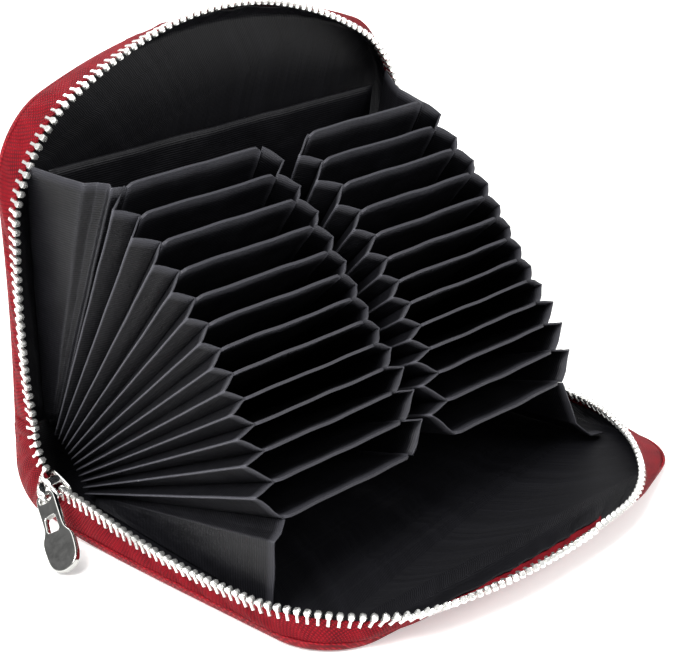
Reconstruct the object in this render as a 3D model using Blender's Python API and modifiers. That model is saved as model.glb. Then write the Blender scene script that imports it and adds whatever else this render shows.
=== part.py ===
"""Card holder wallet with a zip all round, opened on its spine.

Two stiff leather covers are folded on a soft spine. An accordion of thirteen fabric
partitions in two columns fans out between them and makes twenty four card slots.
The front cover lies on the ground, +Y points to the spine, +Z points up.
"""

import bpy
import bmesh
import math
from mathutils import Matrix, Vector

# Driving sizes in metres
COVER_LENGTH = 0.140
COVER_DEPTH = 0.101
CORNER_RADIUS = 0.028
CLOSED_THICKNESS = 0.027
LEATHER = 0.0012
FABRIC = 0.0004
BOARD = 0.0008
CLEAR = 0.0003
WALL_HEIGHT = 0.0036
WALL_BEND = 0.0030
TOOTH_PITCH = 0.0025
TOOTH_LENGTH = 0.0043
TOOTH_THICK = 0.0017
PARTITION_REACH = 0.080
PARTITION_THICK = 0.0005
RIDGE_DEPTH_MOUTH = 0.0067
RIDGE_DEPTH_BASE = 0.0025
PULL_LENGTH = 0.024
PULL_WIDTH = 0.011

# Shares and slopes
FAR_LEAN = 0.7
ZIP_LEAN = 0.9
SPINE_FLAT_SHARE = 0.342
REST_FOLD = math.radians(45.0)
PARTITION_ANGLES = (67.1, 62.3, 57.1, 52.2, 47.9, 44.1, 40.4, 36.8, 33.2, 29.6, 25.9, 21.4, 15.9)
DIVIDER_ANGLE = math.radians(83.5)
ARC_STEPS = 10
SIDE_STEPS = 4

# Sizes worked out from the driving ones
HALF_LENGTH = COVER_LENGTH / 2
PARTITION_WIDTH = COVER_LENGTH * 9 / 28
COLUMN_GAP = COVER_LENGTH * 0.86 / 7
COLUMN_LEFT_START = -HALF_LENGTH * 0.85
COLUMN_RIGHT_START = COLUMN_LEFT_START + PARTITION_WIDTH + COLUMN_GAP
FOLD_HEIGHT = LEATHER / 2
CHORD = CLOSED_THICKNESS - LEATHER
FOLD_Y = COVER_DEPTH / 2
FRONT_FOLD = Vector((0.0, FOLD_Y, FOLD_HEIGHT))
SPINE_RUN = CHORD * math.cos(REST_FOLD)
REAR_FOLD = FRONT_FOLD + Vector((0.0, SPINE_RUN, SPINE_RUN))
FOLD_GAP = LEATHER * 0.3
BOARD_LOW = LEATHER + CLEAR
BOARD_HIGH = BOARD_LOW + BOARD
LINING_LOW = BOARD_HIGH + CLEAR
LINING_HIGH = LINING_LOW + FABRIC
LINING_FOLD_GAP = (LINING_HIGH - FOLD_HEIGHT) * 0.5
BOARD_FOLD_GAP = LEATHER * 3.3
CHAIN_HIGH = CLOSED_THICKNESS / 2 - LEATHER * 0.67
CHAIN_LOW = CHAIN_HIGH - TOOTH_LENGTH
TAPE_THICK = FABRIC * 1.25
TAPE_INSET = LEATHER + CLEAR
CORD_THICK = TOOTH_THICK * 0.55
CORD_LOW = -TOOTH_LENGTH * 0.2
CORD_HIGH = TOOTH_LENGTH * 0.12
CHAIN_FOLD_GAP = LEATHER * 2.1
STOP_LENGTH = TOOTH_PITCH * 1.08
ZIP_HALF = HALF_LENGTH * 1.016
ZIP_NEAR = (CHAIN_LOW + CHAIN_HIGH) / 2
ZIP_FADE = COVER_DEPTH * 0.16
# Way of the teeth round each cover: depth, corner radius, arch of the far side, swell of the left
# side, where the slider runs straight, and of the right side, and height of the teeth's middle
# along the sides and along the far side
ZIP_WAYS = {
    "front": (COVER_DEPTH * 1.005, CORNER_RADIUS, COVER_DEPTH * 0.099, (0.0, COVER_LENGTH * 0.036),
              CLOSED_THICKNESS * 0.296, CLOSED_THICKNESS * 0.296),
    "rear": (COVER_DEPTH * 0.792, CORNER_RADIUS * 0.364, COVER_DEPTH * 0.256,
             (0.0, COVER_LENGTH * 0.022), CLOSED_THICKNESS * 0.318, CLOSED_THICKNESS * 0.4),
}
PARTITION_ROOT = PARTITION_THICK * 6
PITCH = 0.01476 / 0.027 * CLOSED_THICKNESS / 10
BASE_FRONT = Vector((0.0, FOLD_Y + CHORD * 0.0802, FOLD_HEIGHT + CHORD * 0.124))
BASE_REAR_SHIFT = Vector((0.0, -CHORD * 0.1895, -CHORD * 0.0802))
DIVIDER_SHIFT = Vector((0.0, -CHORD * 0.133, 0.0))
DIVIDER_REACH = COVER_DEPTH * 0.752
DIVIDER_LEFT = -HALF_LENGTH * 0.885
DIVIDER_RIGHT = HALF_LENGTH * 0.802
GUSSET_THICK = PARTITION_THICK * 1.6
GUSSET_ROOT = PARTITION_ROOT + CLEAR * 2
GUSSET_REACH = PARTITION_REACH - CLEAR
BASE_NEAR = PARTITION_ROOT - CLEAR - FABRIC
POCKET_INSET = HALF_LENGTH - TAPE_INSET - TAPE_THICK - CLEAR * 4
POCKET_REACH = PARTITION_REACH * 0.93
SLIDER_LENGTH = TOOTH_PITCH * 3.96
SLIDER_PLATE = LEATHER
SLIDER_HALF_HEIGHT = TOOTH_LENGTH * 1.4
SLIDER_GAP = TOOTH_THICK + CLEAR * 3
SLIDER_POST = (CLOSED_THICKNESS / 2 - CHAIN_HIGH) * 1.2
SLIDER_X = -ZIP_HALF
SLIDER_Y = FOLD_Y - SLIDER_LENGTH * 0.52
SLIDER_Z = CLOSED_THICKNESS / 2
BRIDGE_REACH = SLIDER_LENGTH * 0.72
BRIDGE_SPAN = SLIDER_LENGTH * 0.72
BRIDGE_WIDE = LEATHER
BRIDGE_THICK = LEATHER * 0.8
PULL_THICK = LEATHER * 1.5
PULL_BAR = LEATHER * 1.1
PULL_WINDOW = PULL_WIDTH * 0.56

MATERIALS = {}


def material(name, colour, rough, metal=0.0):
    """One surface finish with its own colour, roughness and metalness."""
    if name not in MATERIALS:
        mat = bpy.data.materials.new(name)
        mat.use_nodes = True
        shader = mat.node_tree.nodes["Principled BSDF"]
        shader.inputs["Base Color"].default_value = (*colour, 1.0)
        shader.inputs["Roughness"].default_value = rough
        shader.inputs["Metallic"].default_value = metal
        MATERIALS[name] = mat
    return MATERIALS[name]


def finish_for(kind, name):
    """The finish of one named piece; every piece has a material of its own."""
    table = {
        "leather": ((0.28, 0.008, 0.014), 0.5, 0.0),
        "tape": ((0.25, 0.006, 0.012), 0.8, 0.0),
        "lining": ((0.012, 0.012, 0.014), 0.6, 0.0),
        "board": ((0.25, 0.2, 0.15), 0.9, 0.0),
        "steel": ((0.7, 0.7, 0.7), 0.2, 1.0),
    }
    colour, rough, metal = table[kind]
    return material(name + "_finish", colour, rough, metal)


def add_piece(group, name, verts, faces, kind, place=None, smooth=False):
    """Make one closed piece, turn its faces outward and put it in place."""
    mesh = bpy.data.meshes.new(name)
    mesh.from_pydata([tuple(v) for v in verts], [], faces)
    bm = bmesh.new()
    bm.from_mesh(mesh)
    bmesh.ops.recalc_face_normals(bm, faces=bm.faces)
    bm.to_mesh(mesh)
    bm.free()
    mesh.shade_smooth() if smooth else mesh.shade_flat()
    mesh.materials.append(finish_for(kind, name))
    obj = bpy.data.objects.new(name, mesh)
    group.objects.link(obj)
    if place is not None:
        obj.matrix_world = place
    return obj


def loft(rings):
    """Vertices and faces of a closed body through rings of equal count."""
    count = len(rings[0])
    verts = [point for ring in rings for point in ring]
    faces = []
    for row in range(len(rings) - 1):
        for col in range(count):
            after = (col + 1) % count
            low, high = row * count, (row + 1) * count
            faces.append((low + col, low + after, high + after, high + col))
    faces.append(tuple(range(count)))
    last = (len(rings) - 1) * count
    faces.append(tuple(last + col for col in range(count)))
    return verts, faces


def prism(outline, low, high):
    """A flat outline in the cover plane given thickness between two heights."""
    rings = [[Vector((x, y, z)) for x, y in outline] for z in (low, high)]
    return loft(rings)


def cover_station(travel, inset, height):
    """A point on the cover's turned-up wall.

    Travel runs round the outline from the fold on the left to the fold on the right;
    inset is measured inward from the outer face, height from the outer face of the panel.
    """
    radius = CORNER_RADIUS
    side = COVER_DEPTH - radius
    bend = radius * math.pi / 2
    far = COVER_LENGTH - 2 * radius
    if travel < side:
        spot, turn = Vector((-HALF_LENGTH, travel)), 0.0
    elif travel < side + bend:
        turn = (travel - side) / radius
        centre = Vector((-HALF_LENGTH + radius, side))
        spot = centre + radius * Vector((-math.cos(turn), math.sin(turn)))
    elif travel < side + bend + far:
        spot, turn = Vector((-HALF_LENGTH + radius + travel - side - bend, COVER_DEPTH)), math.pi / 2
    elif travel < side + 2 * bend + far:
        turn = math.pi / 2 + (travel - side - bend - far) / radius
        centre = Vector((HALF_LENGTH - radius, side))
        spot = centre + radius * Vector((-math.cos(turn), math.sin(turn)))
    else:
        spot, turn = Vector((HALF_LENGTH, side - (travel - side - 2 * bend - far))), math.pi
    outward = Vector((-math.cos(turn), math.sin(turn)))
    slope = FAR_LEAN * math.sin(turn) ** 2
    lean = slope * (WALL_HEIGHT - height)
    spot = spot - outward * (inset * math.sqrt(1 + slope ** 2) + lean)
    return Vector((spot.x, -spot.y, height - FOLD_HEIGHT))


def outline_travels(start):
    """Stations round the cover outline, closer together in the corners."""
    side = COVER_DEPTH - CORNER_RADIUS
    bend = CORNER_RADIUS * math.pi / 2
    far = COVER_LENGTH - 2 * CORNER_RADIUS
    travels = [start + (side - start) * k / SIDE_STEPS for k in range(SIDE_STEPS)]
    travels += [side + bend * k / ARC_STEPS for k in range(ARC_STEPS)]
    travels += [side + bend + far * k / SIDE_STEPS for k in range(SIDE_STEPS)]
    travels += [side + bend + far + bend * k / ARC_STEPS for k in range(ARC_STEPS)]
    last = side + 2 * bend + far
    travels += [last + (side - start) * k / SIDE_STEPS for k in range(SIDE_STEPS + 1)]
    return travels


def add_cover_leather(group, name, place):
    """Leather of one cover: a flat panel with a wall turned up on three sides."""
    profile = [(0.0, WALL_HEIGHT)]
    steps = 5
    for k in range(steps + 1):
        turn = math.pi / 2 * k / steps
        profile.append((WALL_BEND * (1 - math.cos(turn)), WALL_BEND * (1 - math.sin(turn))))
    travels = outline_travels(FOLD_GAP)
    rows = [[cover_station(t, inset, height) for inset, height in profile] for t in travels]
    count = len(profile)
    verts = [point for row in rows for point in row]
    faces = []
    for row in range(len(rows) - 1):
        for col in range(count - 1):
            low, high = row * count, (row + 1) * count
            faces.append((low + col, low + col + 1, high + col + 1, high + col))
    faces.append(tuple(row * count + count - 1 for row in range(len(rows))))
    obj = add_piece(group, name, verts, faces, "leather", place, smooth=False)
    thick = obj.modifiers.new("thickness", "SOLIDIFY")
    thick.thickness = LEATHER
    thick.offset = -1.0
    thick.use_even_offset = True
    return obj


def add_cover_sheet(group, name, place, inset, start, low, high, kind):
    """Flat sheet inside a cover: the stiffening board or the lining."""
    outline = [cover_station(t, inset, low).xy for t in outline_travels(start)]
    verts, faces = prism(outline, low - FOLD_HEIGHT, high - FOLD_HEIGHT)
    return add_piece(group, name, verts, faces, kind, place)


def zip_station(side, station):
    """Middle of the teeth of one cover, and the direction from the tape to their heads.

    Stations 0 to 5 run along the left side, a corner, the far side, a corner and the right side.
    """
    depth, radius, arch, swells, side_height, far_height = ZIP_WAYS[side]
    leg = min(int(station), 4)
    part = station - leg
    straight, near = depth - radius, ZIP_HALF - radius
    turn = (0.0, part, 1.0, 1.0 + part, 2.0)[leg] * math.pi / 2
    x = (-ZIP_HALF, -near - radius * math.cos(turn), near * (2 * part - 1), near - radius * math.cos(turn), ZIP_HALF)[leg]
    v = (part * straight, straight + radius * math.sin(turn), depth, straight + radius * math.sin(turn),
         (1 - part) * straight)[leg]
    swell = swells[0 if x < 0 else 1] * math.sin(math.pi * min(v / depth, 1.0) ** 0.75)
    v += arch * (1 - (x / ZIP_HALF) ** 2)
    x += math.copysign(swell * (x / ZIP_HALF) ** 2, x)
    rise = min(max((v - COVER_DEPTH / 2) / (COVER_DEPTH / 2), 0.0), 1.0)
    height = side_height + (ZIP_NEAR - side_height) * math.exp(-(v / ZIP_FADE) ** 2)
    height += (far_height - side_height) * rise * rise * (3 - 2 * rise)
    slope = ZIP_LEAN * math.sin(turn) ** 2
    up = Vector((-math.cos(turn) * slope, -math.sin(turn) * slope, 1.0)).normalized()
    return facing(side, Vector((x, -v, height - FOLD_HEIGHT))), facing(side, up)


def facing(side, vector):
    """The rear cover's own axes run the other way along the spine."""
    return Vector((-vector.x, vector.y, vector.z)) if side == "rear" else vector


def wall_top(side, station):
    """Point just clear of the middle of the leather wall's upper edge at a station."""
    leg = min(int(station), 4)
    part = station - leg
    straight = COVER_DEPTH - CORNER_RADIUS
    lengths = (straight, CORNER_RADIUS * math.pi / 2, COVER_LENGTH - 2 * CORNER_RADIUS,
               CORNER_RADIUS * math.pi / 2, straight)
    travel = sum(lengths[:leg]) + lengths[leg] * part
    turn = (0.0, part, 1.0, 1.0 + part, 2.0)[leg] * math.pi / 2
    lean = math.atan(FAR_LEAN * math.sin(turn) ** 2)
    spot = cover_station(travel, 0.0, WALL_HEIGHT)
    flat = Vector((math.cos(turn), math.sin(turn), 0.0))
    inward = flat * math.cos(lean) + Vector((0.0, 0.0, math.sin(lean)))
    upward = Vector((0.0, 0.0, math.cos(lean))) - flat * math.sin(lean)
    return facing(side, spot + inward * LEATHER / 2 + upward * (CLEAR + TAPE_THICK * 0.8))


def zip_lengths(side):
    """Stations of one zip half against their length along it."""
    steps = 500
    table = [(0.0, 0.0)]
    last = zip_station(side, 0.0)[0]
    for k in range(1, steps + 1):
        spot = zip_station(side, 5.0 * k / steps)[0]
        table.append((table[-1][0] + (spot - last).length, 5.0 * k / steps))
        last = spot
    return table


def station_at(table, length):
    """Station at a length along the zip."""
    low = max(k for k, row in enumerate(table[:-1]) if row[0] <= max(length, 0.0))
    (first, begin), (second, end) = table[low], table[low + 1]
    return begin + (end - begin) * (length - first) / (second - first)


def zip_ring(side, table, length, low, high, thick):
    """Cross-section of the teeth or their cord at a length along the zip."""
    step = TOOTH_PITCH * 0.1
    spot, up = zip_station(side, station_at(table, length))
    after = zip_station(side, station_at(table, length + step))[0]
    across = (after - spot).cross(up).normalized() * thick / 2
    return [spot - across + up * low, spot + across + up * low, spot + across + up * high, spot - across + up * high]


def add_cover_tape(group, name, side, place):
    """Woven zip tape from the leather wall's edge to the teeth."""
    depth, radius = ZIP_WAYS[side][:2]
    start = CHAIN_FOLD_GAP / (depth - radius)
    steps = ARC_STEPS * 2
    stations = [start + (1 - start) * k / steps for k in range(steps)]
    stations += [1 + k / ARC_STEPS for k in range(ARC_STEPS * 3)]
    stations += [4 + (1 - start) * k / steps for k in range(steps + 1)]
    rings = []
    for station in stations:
        foot = wall_top(side, station)
        spot, up = zip_station(side, station)
        head = spot - up * (TOOTH_LENGTH / 2 + CLEAR)
        rise = (head - foot).normalized()
        near, far = max(station - 0.01, 0.0), min(station + 0.01, 5.0)
        along = (wall_top(side, far) - wall_top(side, near)).normalized()
        across = along.cross(rise).normalized() * TAPE_THICK / 2
        rings.append([foot - across, foot + across, head + across, head - across])
    verts, faces = loft(rings)
    return add_piece(group, name, verts, faces, "tape", place)


def add_cover_chain(group, name, side, place):
    """Half of the zip chain: metal teeth clamped on one cord."""
    table = zip_lengths(side)
    start = CHAIN_FOLD_GAP
    end = table[-1][0] - CHAIN_FOLD_GAP - STOP_LENGTH - CLEAR
    teeth = int((end - start) / TOOTH_PITCH)
    rings = []
    for tooth in range(teeth):
        origin = start + tooth * TOOTH_PITCH
        marks = ((0.0, False), (0.25, False), (0.25, True), (0.75, True), (0.75, False), (1.0, False))
        for share, raised in marks:
            nudge = 0.02 if raised and share < 0.5 else -0.02 if raised else 0.0
            if share == 0.0 and tooth > 0:
                continue
            half = TOOTH_LENGTH / 2
            low, high, thick = (-half, half, TOOTH_THICK) if raised else (CORD_LOW, CORD_HIGH, CORD_THICK)
            rings.append(zip_ring(side, table, origin + (share + nudge) * TOOTH_PITCH, low, high, thick))
    verts, faces = loft(rings)
    return add_piece(group, name, verts, faces, "steel", place)


def add_stop(group, name, side, place):
    """Metal stop clamped on the tape after the last tooth on the right."""
    table = zip_lengths(side)
    end = table[-1][0] - CHAIN_FOLD_GAP
    half = TOOTH_LENGTH * 0.4
    rings = [zip_ring(side, table, length, -half, half, TOOTH_THICK) for length in (end - STOP_LENGTH, end)]
    verts, faces = loft(rings)
    return add_piece(group, name, verts, faces, "steel", place)


def spine_profile(offset, start):
    """Section of the spine in the plane across it: flat, quarter bend, flat.

    Offset moves the line toward the inside; start leaves room beside each fold.
    """
    flat = SPINE_RUN * SPINE_FLAT_SHARE
    radius = SPINE_RUN - flat
    points = [Vector((start, offset))]
    steps = ARC_STEPS
    for k in range(steps + 1):
        turn = math.pi / 2 * k / steps
        reach = radius - offset
        points.append(Vector((flat + reach * math.sin(turn), radius - reach * math.cos(turn))))
    points.append(Vector((SPINE_RUN - offset, SPINE_RUN - start)))
    return points


def add_spine_strip(group, name, inner, outer, start, half, kind):
    """A layer of the spine between two offsets from the middle of the leather."""
    outline = spine_profile(outer, start) + spine_profile(inner, start)[::-1]
    rings = [[Vector((x, p.x, p.y)) for p in outline] for x in (-half, half)]
    verts, faces = loft(rings)
    return add_piece(group, name, verts, faces, kind, Matrix.Translation(FRONT_FOLD))


def add_tape_end(group, name, side):
    """Tape end that closes the spine at one side, between its bend and the chord."""
    margin = CHORD * 0.15
    offset = FOLD_HEIGHT + CLEAR
    inner = [p for p in spine_profile(offset, margin)]
    outline = inner
    near = side * (POCKET_INSET + CLEAR)
    far = near - side * TAPE_THICK
    rings = [[Vector((x, p.x, p.y)) for p in outline] for x in (near, far)]
    verts, faces = loft(rings)
    return add_piece(group, name, verts, faces, "tape", Matrix.Translation(FRONT_FOLD))


def add_chain_end(group):
    """Last teeth of the rear chain, bent over the spine's end into the slider."""
    upper = SLIDER_Z + (SLIDER_Z - (CHAIN_LOW + CHAIN_HIGH) / 2)
    entry = SLIDER_Y + SLIDER_LENGTH / 2 + CLEAR
    across = REAR_FOLD.y + FOLD_HEIGHT - (CHAIN_LOW + CHAIN_HIGH) / 2
    top = REAR_FOLD.z + CHAIN_FOLD_GAP - CLEAR * 2
    radius = top - upper
    way = [(entry + (across - radius - entry) * k / 3, upper, 0.0) for k in range(3)]
    for k in range(7):
        turn = math.pi / 2 * k / 6
        way.append((across - radius + radius * math.sin(turn), top - radius * math.cos(turn), turn))
    rings = []
    for step, (y, z, turn) in enumerate(way):
        raised = step % 3 != 0
        half = TOOTH_LENGTH / 2 if raised else TOOTH_LENGTH * 0.2
        thick = TOOTH_THICK / 2 if raised else CORD_THICK / 2
        side = Vector((0.0, -math.sin(turn), math.cos(turn)))
        centre = Vector((SLIDER_X, y, z))
        across_x = Vector((thick, 0.0, 0.0))
        rings.append([centre - across_x - side * half, centre + across_x - side * half,
                      centre + across_x + side * half, centre - across_x + side * half])
    verts, faces = loft(rings)
    return add_piece(group, "zip_end_run", verts, faces, "steel")


def partition_bases():
    """Hinge line of each partition, from the rear one to the front one."""
    angles = [math.radians(a) for a in PARTITION_ANGLES]
    bases = [BASE_FRONT.copy()]
    for k in range(len(angles) - 1, 0, -1):
        middle = (angles[k] + angles[k - 1]) / 2
        bases.append(bases[-1] + PITCH * Vector((0.0, math.sin(middle), math.cos(middle))))
    return bases[::-1], angles


def add_partition(group, number, side, start, base, angle):
    """One fabric partition of a column, hinged along its lower edge."""
    name = "partition_%02d_%s" % (number + 1, side)
    half = PARTITION_THICK / 2
    chamfer = PARTITION_THICK * 2
    outline = [(start, -PARTITION_ROOT), (start, -PARTITION_REACH + chamfer), (start + chamfer, -PARTITION_REACH),
               (start + PARTITION_WIDTH - chamfer, -PARTITION_REACH),
               (start + PARTITION_WIDTH, -PARTITION_REACH + chamfer), (start + PARTITION_WIDTH, -PARTITION_ROOT)]
    verts, faces = prism(outline, -half, half)
    place = Matrix.Translation(base) @ Matrix.Rotation(-angle, 4, "X")
    return add_piece(group, name, verts, faces, "lining", place)


def fan_lines(bases, angles):
    """Valley and ridge lines of a folded side: base point, angle, and fold share."""
    lines = []
    for k, (base, angle) in enumerate(zip(bases, angles)):
        lines.append((base, angle, 0.0))
        if k + 1 < len(angles):
            lines.append(((base + bases[k + 1]) / 2, (angle + angles[k + 1]) / 2, 1.0))
    return lines


def add_fan_gusset(group, name, edge, side, bases, angles):
    """Folded fabric that closes one side of a column of partitions."""
    reaches = [GUSSET_ROOT, PARTITION_REACH * 0.5, GUSSET_REACH]
    near, far = [], []
    for base, angle, fold in fan_lines(bases, angles):
        direction = Vector((0.0, -math.cos(angle), math.sin(angle)))
        for reach in reaches:
            share = (reach - GUSSET_ROOT) / (GUSSET_REACH - GUSSET_ROOT)
            depth = fold * (RIDGE_DEPTH_BASE + (RIDGE_DEPTH_MOUTH - RIDGE_DEPTH_BASE) * share)
            x = edge + side * (CLEAR + depth)
            spot = base + direction * reach
            near.append(Vector((x, spot.y, spot.z)))
            far.append(Vector((x + side * GUSSET_THICK, spot.y, spot.z)))
    rows = len(reaches)
    cols = len(near) // rows
    return add_sheet(group, name, near, far, rows, cols, "lining")


def add_sheet(group, name, near, far, rows, cols, kind):
    """A thin closed body between two grids of the same layout."""
    shift = len(near)
    faces = []
    for c in range(cols - 1):
        for r in range(rows - 1):
            a, b = c * rows + r, (c + 1) * rows + r
            faces.append((a, a + 1, b + 1, b))
            faces.append((shift + a, shift + b, shift + b + 1, shift + a + 1))
        for r in (0, rows - 1):
            a, b = c * rows + r, (c + 1) * rows + r
            faces.append((a, b, shift + b, shift + a))
    for c in (0, cols - 1):
        for r in range(rows - 1):
            a = c * rows + r
            faces.append((a, a + 1, shift + a + 1, shift + a))
    return add_piece(group, name, near + far, faces, kind)


def add_accordion_base(group, bases, angles):
    """Fabric strip that joins the lower edges of the partitions."""
    near, far = [], []
    for base, angle in zip(bases, angles):
        direction = Vector((0.0, -math.cos(angle), math.sin(angle)))
        for x in (COLUMN_LEFT_START, COLUMN_RIGHT_START + PARTITION_WIDTH):
            inner = base + direction * BASE_NEAR
            outer = inner + direction * FABRIC
            near.append(Vector((x, inner.y, inner.z)))
            far.append(Vector((x, outer.y, outer.z)))
    return add_sheet(group, "accordion_base", near, far, 2, len(bases), "lining")


def add_pocket_gusset(group, name, column_edge, cover_edge, base, angle, cover_line, side):
    """Side of a pocket, from the end of a partition to the edge of a cover."""
    near, far = [], []
    lines = 4
    shift = Vector((side * GUSSET_THICK, 0.0, 0.0))
    direction = Vector((0.0, -math.cos(angle), math.sin(angle)))
    for k in range(lines):
        share = k / (lines - 1)
        for reach_share in (0.08, 0.5, 1.0):
            reach = POCKET_REACH * reach_share
            start = base + direction * reach
            start.x = column_edge + side * CLEAR
            end = cover_line(reach)
            end.x = cover_edge
            spot = start.lerp(end, share)
            near.append(spot)
            far.append(spot + shift)
    return add_sheet(group, name, near, far, 3, lines, "lining")


def front_pocket_line(reach):
    """Line on the front lining where the front pocket's sides are sewn down."""
    return Vector((0.0, FOLD_Y - reach - CLEAR * 6, LINING_HIGH + CLEAR))


def rear_pocket_line(reach):
    """Line on the rear lining where the rear pocket's sides are sewn down."""
    inside = REAR_FOLD.y + FOLD_HEIGHT - LINING_HIGH - CLEAR
    return Vector((0.0, inside, REAR_FOLD.z + reach + CLEAR * 6))


def add_divider(group):
    """Full-width divider between the banknote pockets."""
    half = PARTITION_THICK / 2
    outline = [(DIVIDER_LEFT, -PARTITION_ROOT), (DIVIDER_LEFT, -DIVIDER_REACH),
               (DIVIDER_RIGHT, -DIVIDER_REACH), (DIVIDER_RIGHT, -PARTITION_ROOT)]
    verts, faces = prism(outline, -half, half)
    place = Matrix.Translation(REAR_FOLD + DIVIDER_SHIFT) @ Matrix.Rotation(-DIVIDER_ANGLE, 4, "X")
    return add_piece(group, "cash_divider", verts, faces, "lining", place)


def slider_section():
    """Outline of the slider across its length: two plates joined by a post."""
    gap, plate = SLIDER_GAP / 2, SLIDER_PLATE
    tall, post = SLIDER_HALF_HEIGHT, SLIDER_POST / 2
    outer = gap + plate
    return [(-outer, -tall), (-gap, -tall), (-gap, -post), (gap, -post), (gap, -tall), (outer, -tall),
            (outer, tall), (gap, tall), (gap, post), (-gap, post), (-gap, tall), (-outer, tall)]


def add_slider(group, tools):
    """Zip slider with the arched bridge that holds the pull."""
    centre = Vector((SLIDER_X, SLIDER_Y, SLIDER_Z))
    rings = []
    for y in (-SLIDER_LENGTH / 2, SLIDER_LENGTH / 2):
        rings.append([Vector((x, y, z)) for x, z in slider_section()])
    verts, faces = loft(rings)
    obj = add_piece(group, "slider_body", verts, faces, "steel", Matrix.Translation(centre))
    root = SLIDER_GAP / 2 + SLIDER_PLATE * 0.5
    reach = SLIDER_GAP / 2 + SLIDER_PLATE + BRIDGE_REACH
    half = BRIDGE_SPAN / 2
    thick = BRIDGE_THICK
    outer = [(-root, -half), (-reach + thick, -half), (-reach, -half + thick), (-reach, half - thick),
             (-reach + thick, half), (-root, half)]
    inner = [(-root, half - thick), (-reach + thick, half - thick), (-reach + thick, -half + thick),
             (-root, -half + thick)]
    rings = [[Vector((x, y, z)) for x, y in outer + inner] for z in (-BRIDGE_WIDE / 2, BRIDGE_WIDE / 2)]
    verts, faces = loft(rings)
    bridge = add_piece(tools, "bridge_tool", verts, faces, "steel", Matrix.Translation(centre))
    bridge.hide_render = True
    bridge.display_type = "WIRE"
    join = obj.modifiers.new("bridge", "BOOLEAN")
    join.operation = "UNION"
    join.solver = "EXACT"
    join.object = bridge
    return obj


def pull_frame():
    """Place of the pull: its hinge point on the bridge, and its three directions."""
    reach = SLIDER_GAP / 2 + SLIDER_PLATE + BRIDGE_REACH - BRIDGE_THICK - PULL_BAR * 1.65
    point = Vector((SLIDER_X - reach, SLIDER_Y - BRIDGE_SPAN / 2 + BRIDGE_THICK + PULL_BAR * 1.6, SLIDER_Z))
    along = Vector((-0.35, -0.83, -0.45)).normalized()
    face = Vector((-0.72, -0.04, 0.69))
    face = (face - along * face.dot(along)).normalized()
    across = face.cross(along)
    return point, along, across, face


def add_pull(group):
    """Pull tab with a window at its top and a rounded lower end."""
    point, along, across, face = pull_frame()
    wide = PULL_WIDTH / 2
    shoulder = wide * 0.8
    outline = [(-PULL_BAR / 2, -shoulder), (PULL_LENGTH * 0.35, -wide)]
    steps = 12
    for k in range(steps + 1):
        turn = -math.pi / 2 + math.pi * k / steps
        outline.append((PULL_LENGTH - wide + wide * math.cos(turn), wide * math.sin(turn)))
    outline += [(PULL_LENGTH * 0.35, wide), (-PULL_BAR / 2, shoulder)]
    window = [(PULL_BAR / 2, -PULL_WINDOW / 2), (PULL_BAR / 2, PULL_WINDOW / 2),
              (PULL_LENGTH * 0.24, PULL_WINDOW * 0.42), (PULL_LENGTH * 0.24, -PULL_WINDOW * 0.42)]
    place = Matrix.Translation(point) @ Matrix((along, across, face)).transposed().to_4x4()
    return add_windowed_plate(group, "pull_tab", outline, window, PULL_THICK, place)


def add_windowed_plate(group, name, outline, window, thick, place):
    """A flat plate with one window, filled between the two outlines."""
    bm = bmesh.new()
    edges = []
    for loop in (outline, window):
        ring = [bm.verts.new((x, y, -thick / 2)) for x, y in loop]
        edges += [bm.edges.new((ring[k], ring[(k + 1) % len(ring)])) for k in range(len(ring))]
    bmesh.ops.triangle_fill(bm, use_beauty=True, use_dissolve=False, edges=edges)
    pushed = bmesh.ops.extrude_face_region(bm, geom=bm.faces[:])
    moved = [item for item in pushed["geom"] if isinstance(item, bmesh.types.BMVert)]
    bmesh.ops.translate(bm, verts=moved, vec=(0.0, 0.0, thick))
    bmesh.ops.recalc_face_normals(bm, faces=bm.faces)
    mesh = bpy.data.meshes.new(name)
    bm.to_mesh(mesh)
    bm.free()
    mesh.materials.append(finish_for("steel", name))
    obj = bpy.data.objects.new(name, mesh)
    group.objects.link(obj)
    obj.matrix_world = place
    return obj


def cover_places():
    """Where the two covers stand: the rear one is the front one folded up."""
    turn = Matrix(((-1.0, 0.0, 0.0), (0.0, 0.0, -1.0), (0.0, -1.0, 0.0))).to_4x4()
    return (("front", Matrix.Translation(FRONT_FOLD)), ("rear", Matrix.Translation(REAR_FOLD) @ turn))


def add_covers(group):
    """Both covers with their boards, linings and halves of the zip."""
    for side, place in cover_places():
        add_cover_leather(group, side + "_cover_leather", place)
        add_cover_sheet(group, side + "_board", place, WALL_BEND, BOARD_FOLD_GAP, BOARD_LOW, BOARD_HIGH, "board")
        add_cover_sheet(group, side + "_lining", place, WALL_BEND * 0.62, LINING_FOLD_GAP, LINING_LOW, LINING_HIGH,
                        "lining")
        add_cover_tape(group, side + "_zip_tape", side, place)
        add_cover_chain(group, side + "_zip_chain", side, place)
        add_stop(group, side + "_top_stop", side, place)


def add_spine(group):
    """Spine leather, spine lining and the tape ends at both sides."""
    half = HALF_LENGTH - CLEAR * 3
    add_spine_strip(group, "spine_leather", FOLD_HEIGHT, -FOLD_HEIGHT, FOLD_GAP, half, "leather")
    low = FOLD_HEIGHT + CLEAR
    start = LINING_FOLD_GAP
    add_spine_strip(group, "spine_lining", low + FABRIC, low, start, POCKET_INSET - CLEAR * 3, "lining")
    add_tape_end(group, "zip_tape_end_left", -1.0)
    add_tape_end(group, "zip_tape_end_right", 1.0)
    add_chain_end(group)


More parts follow.
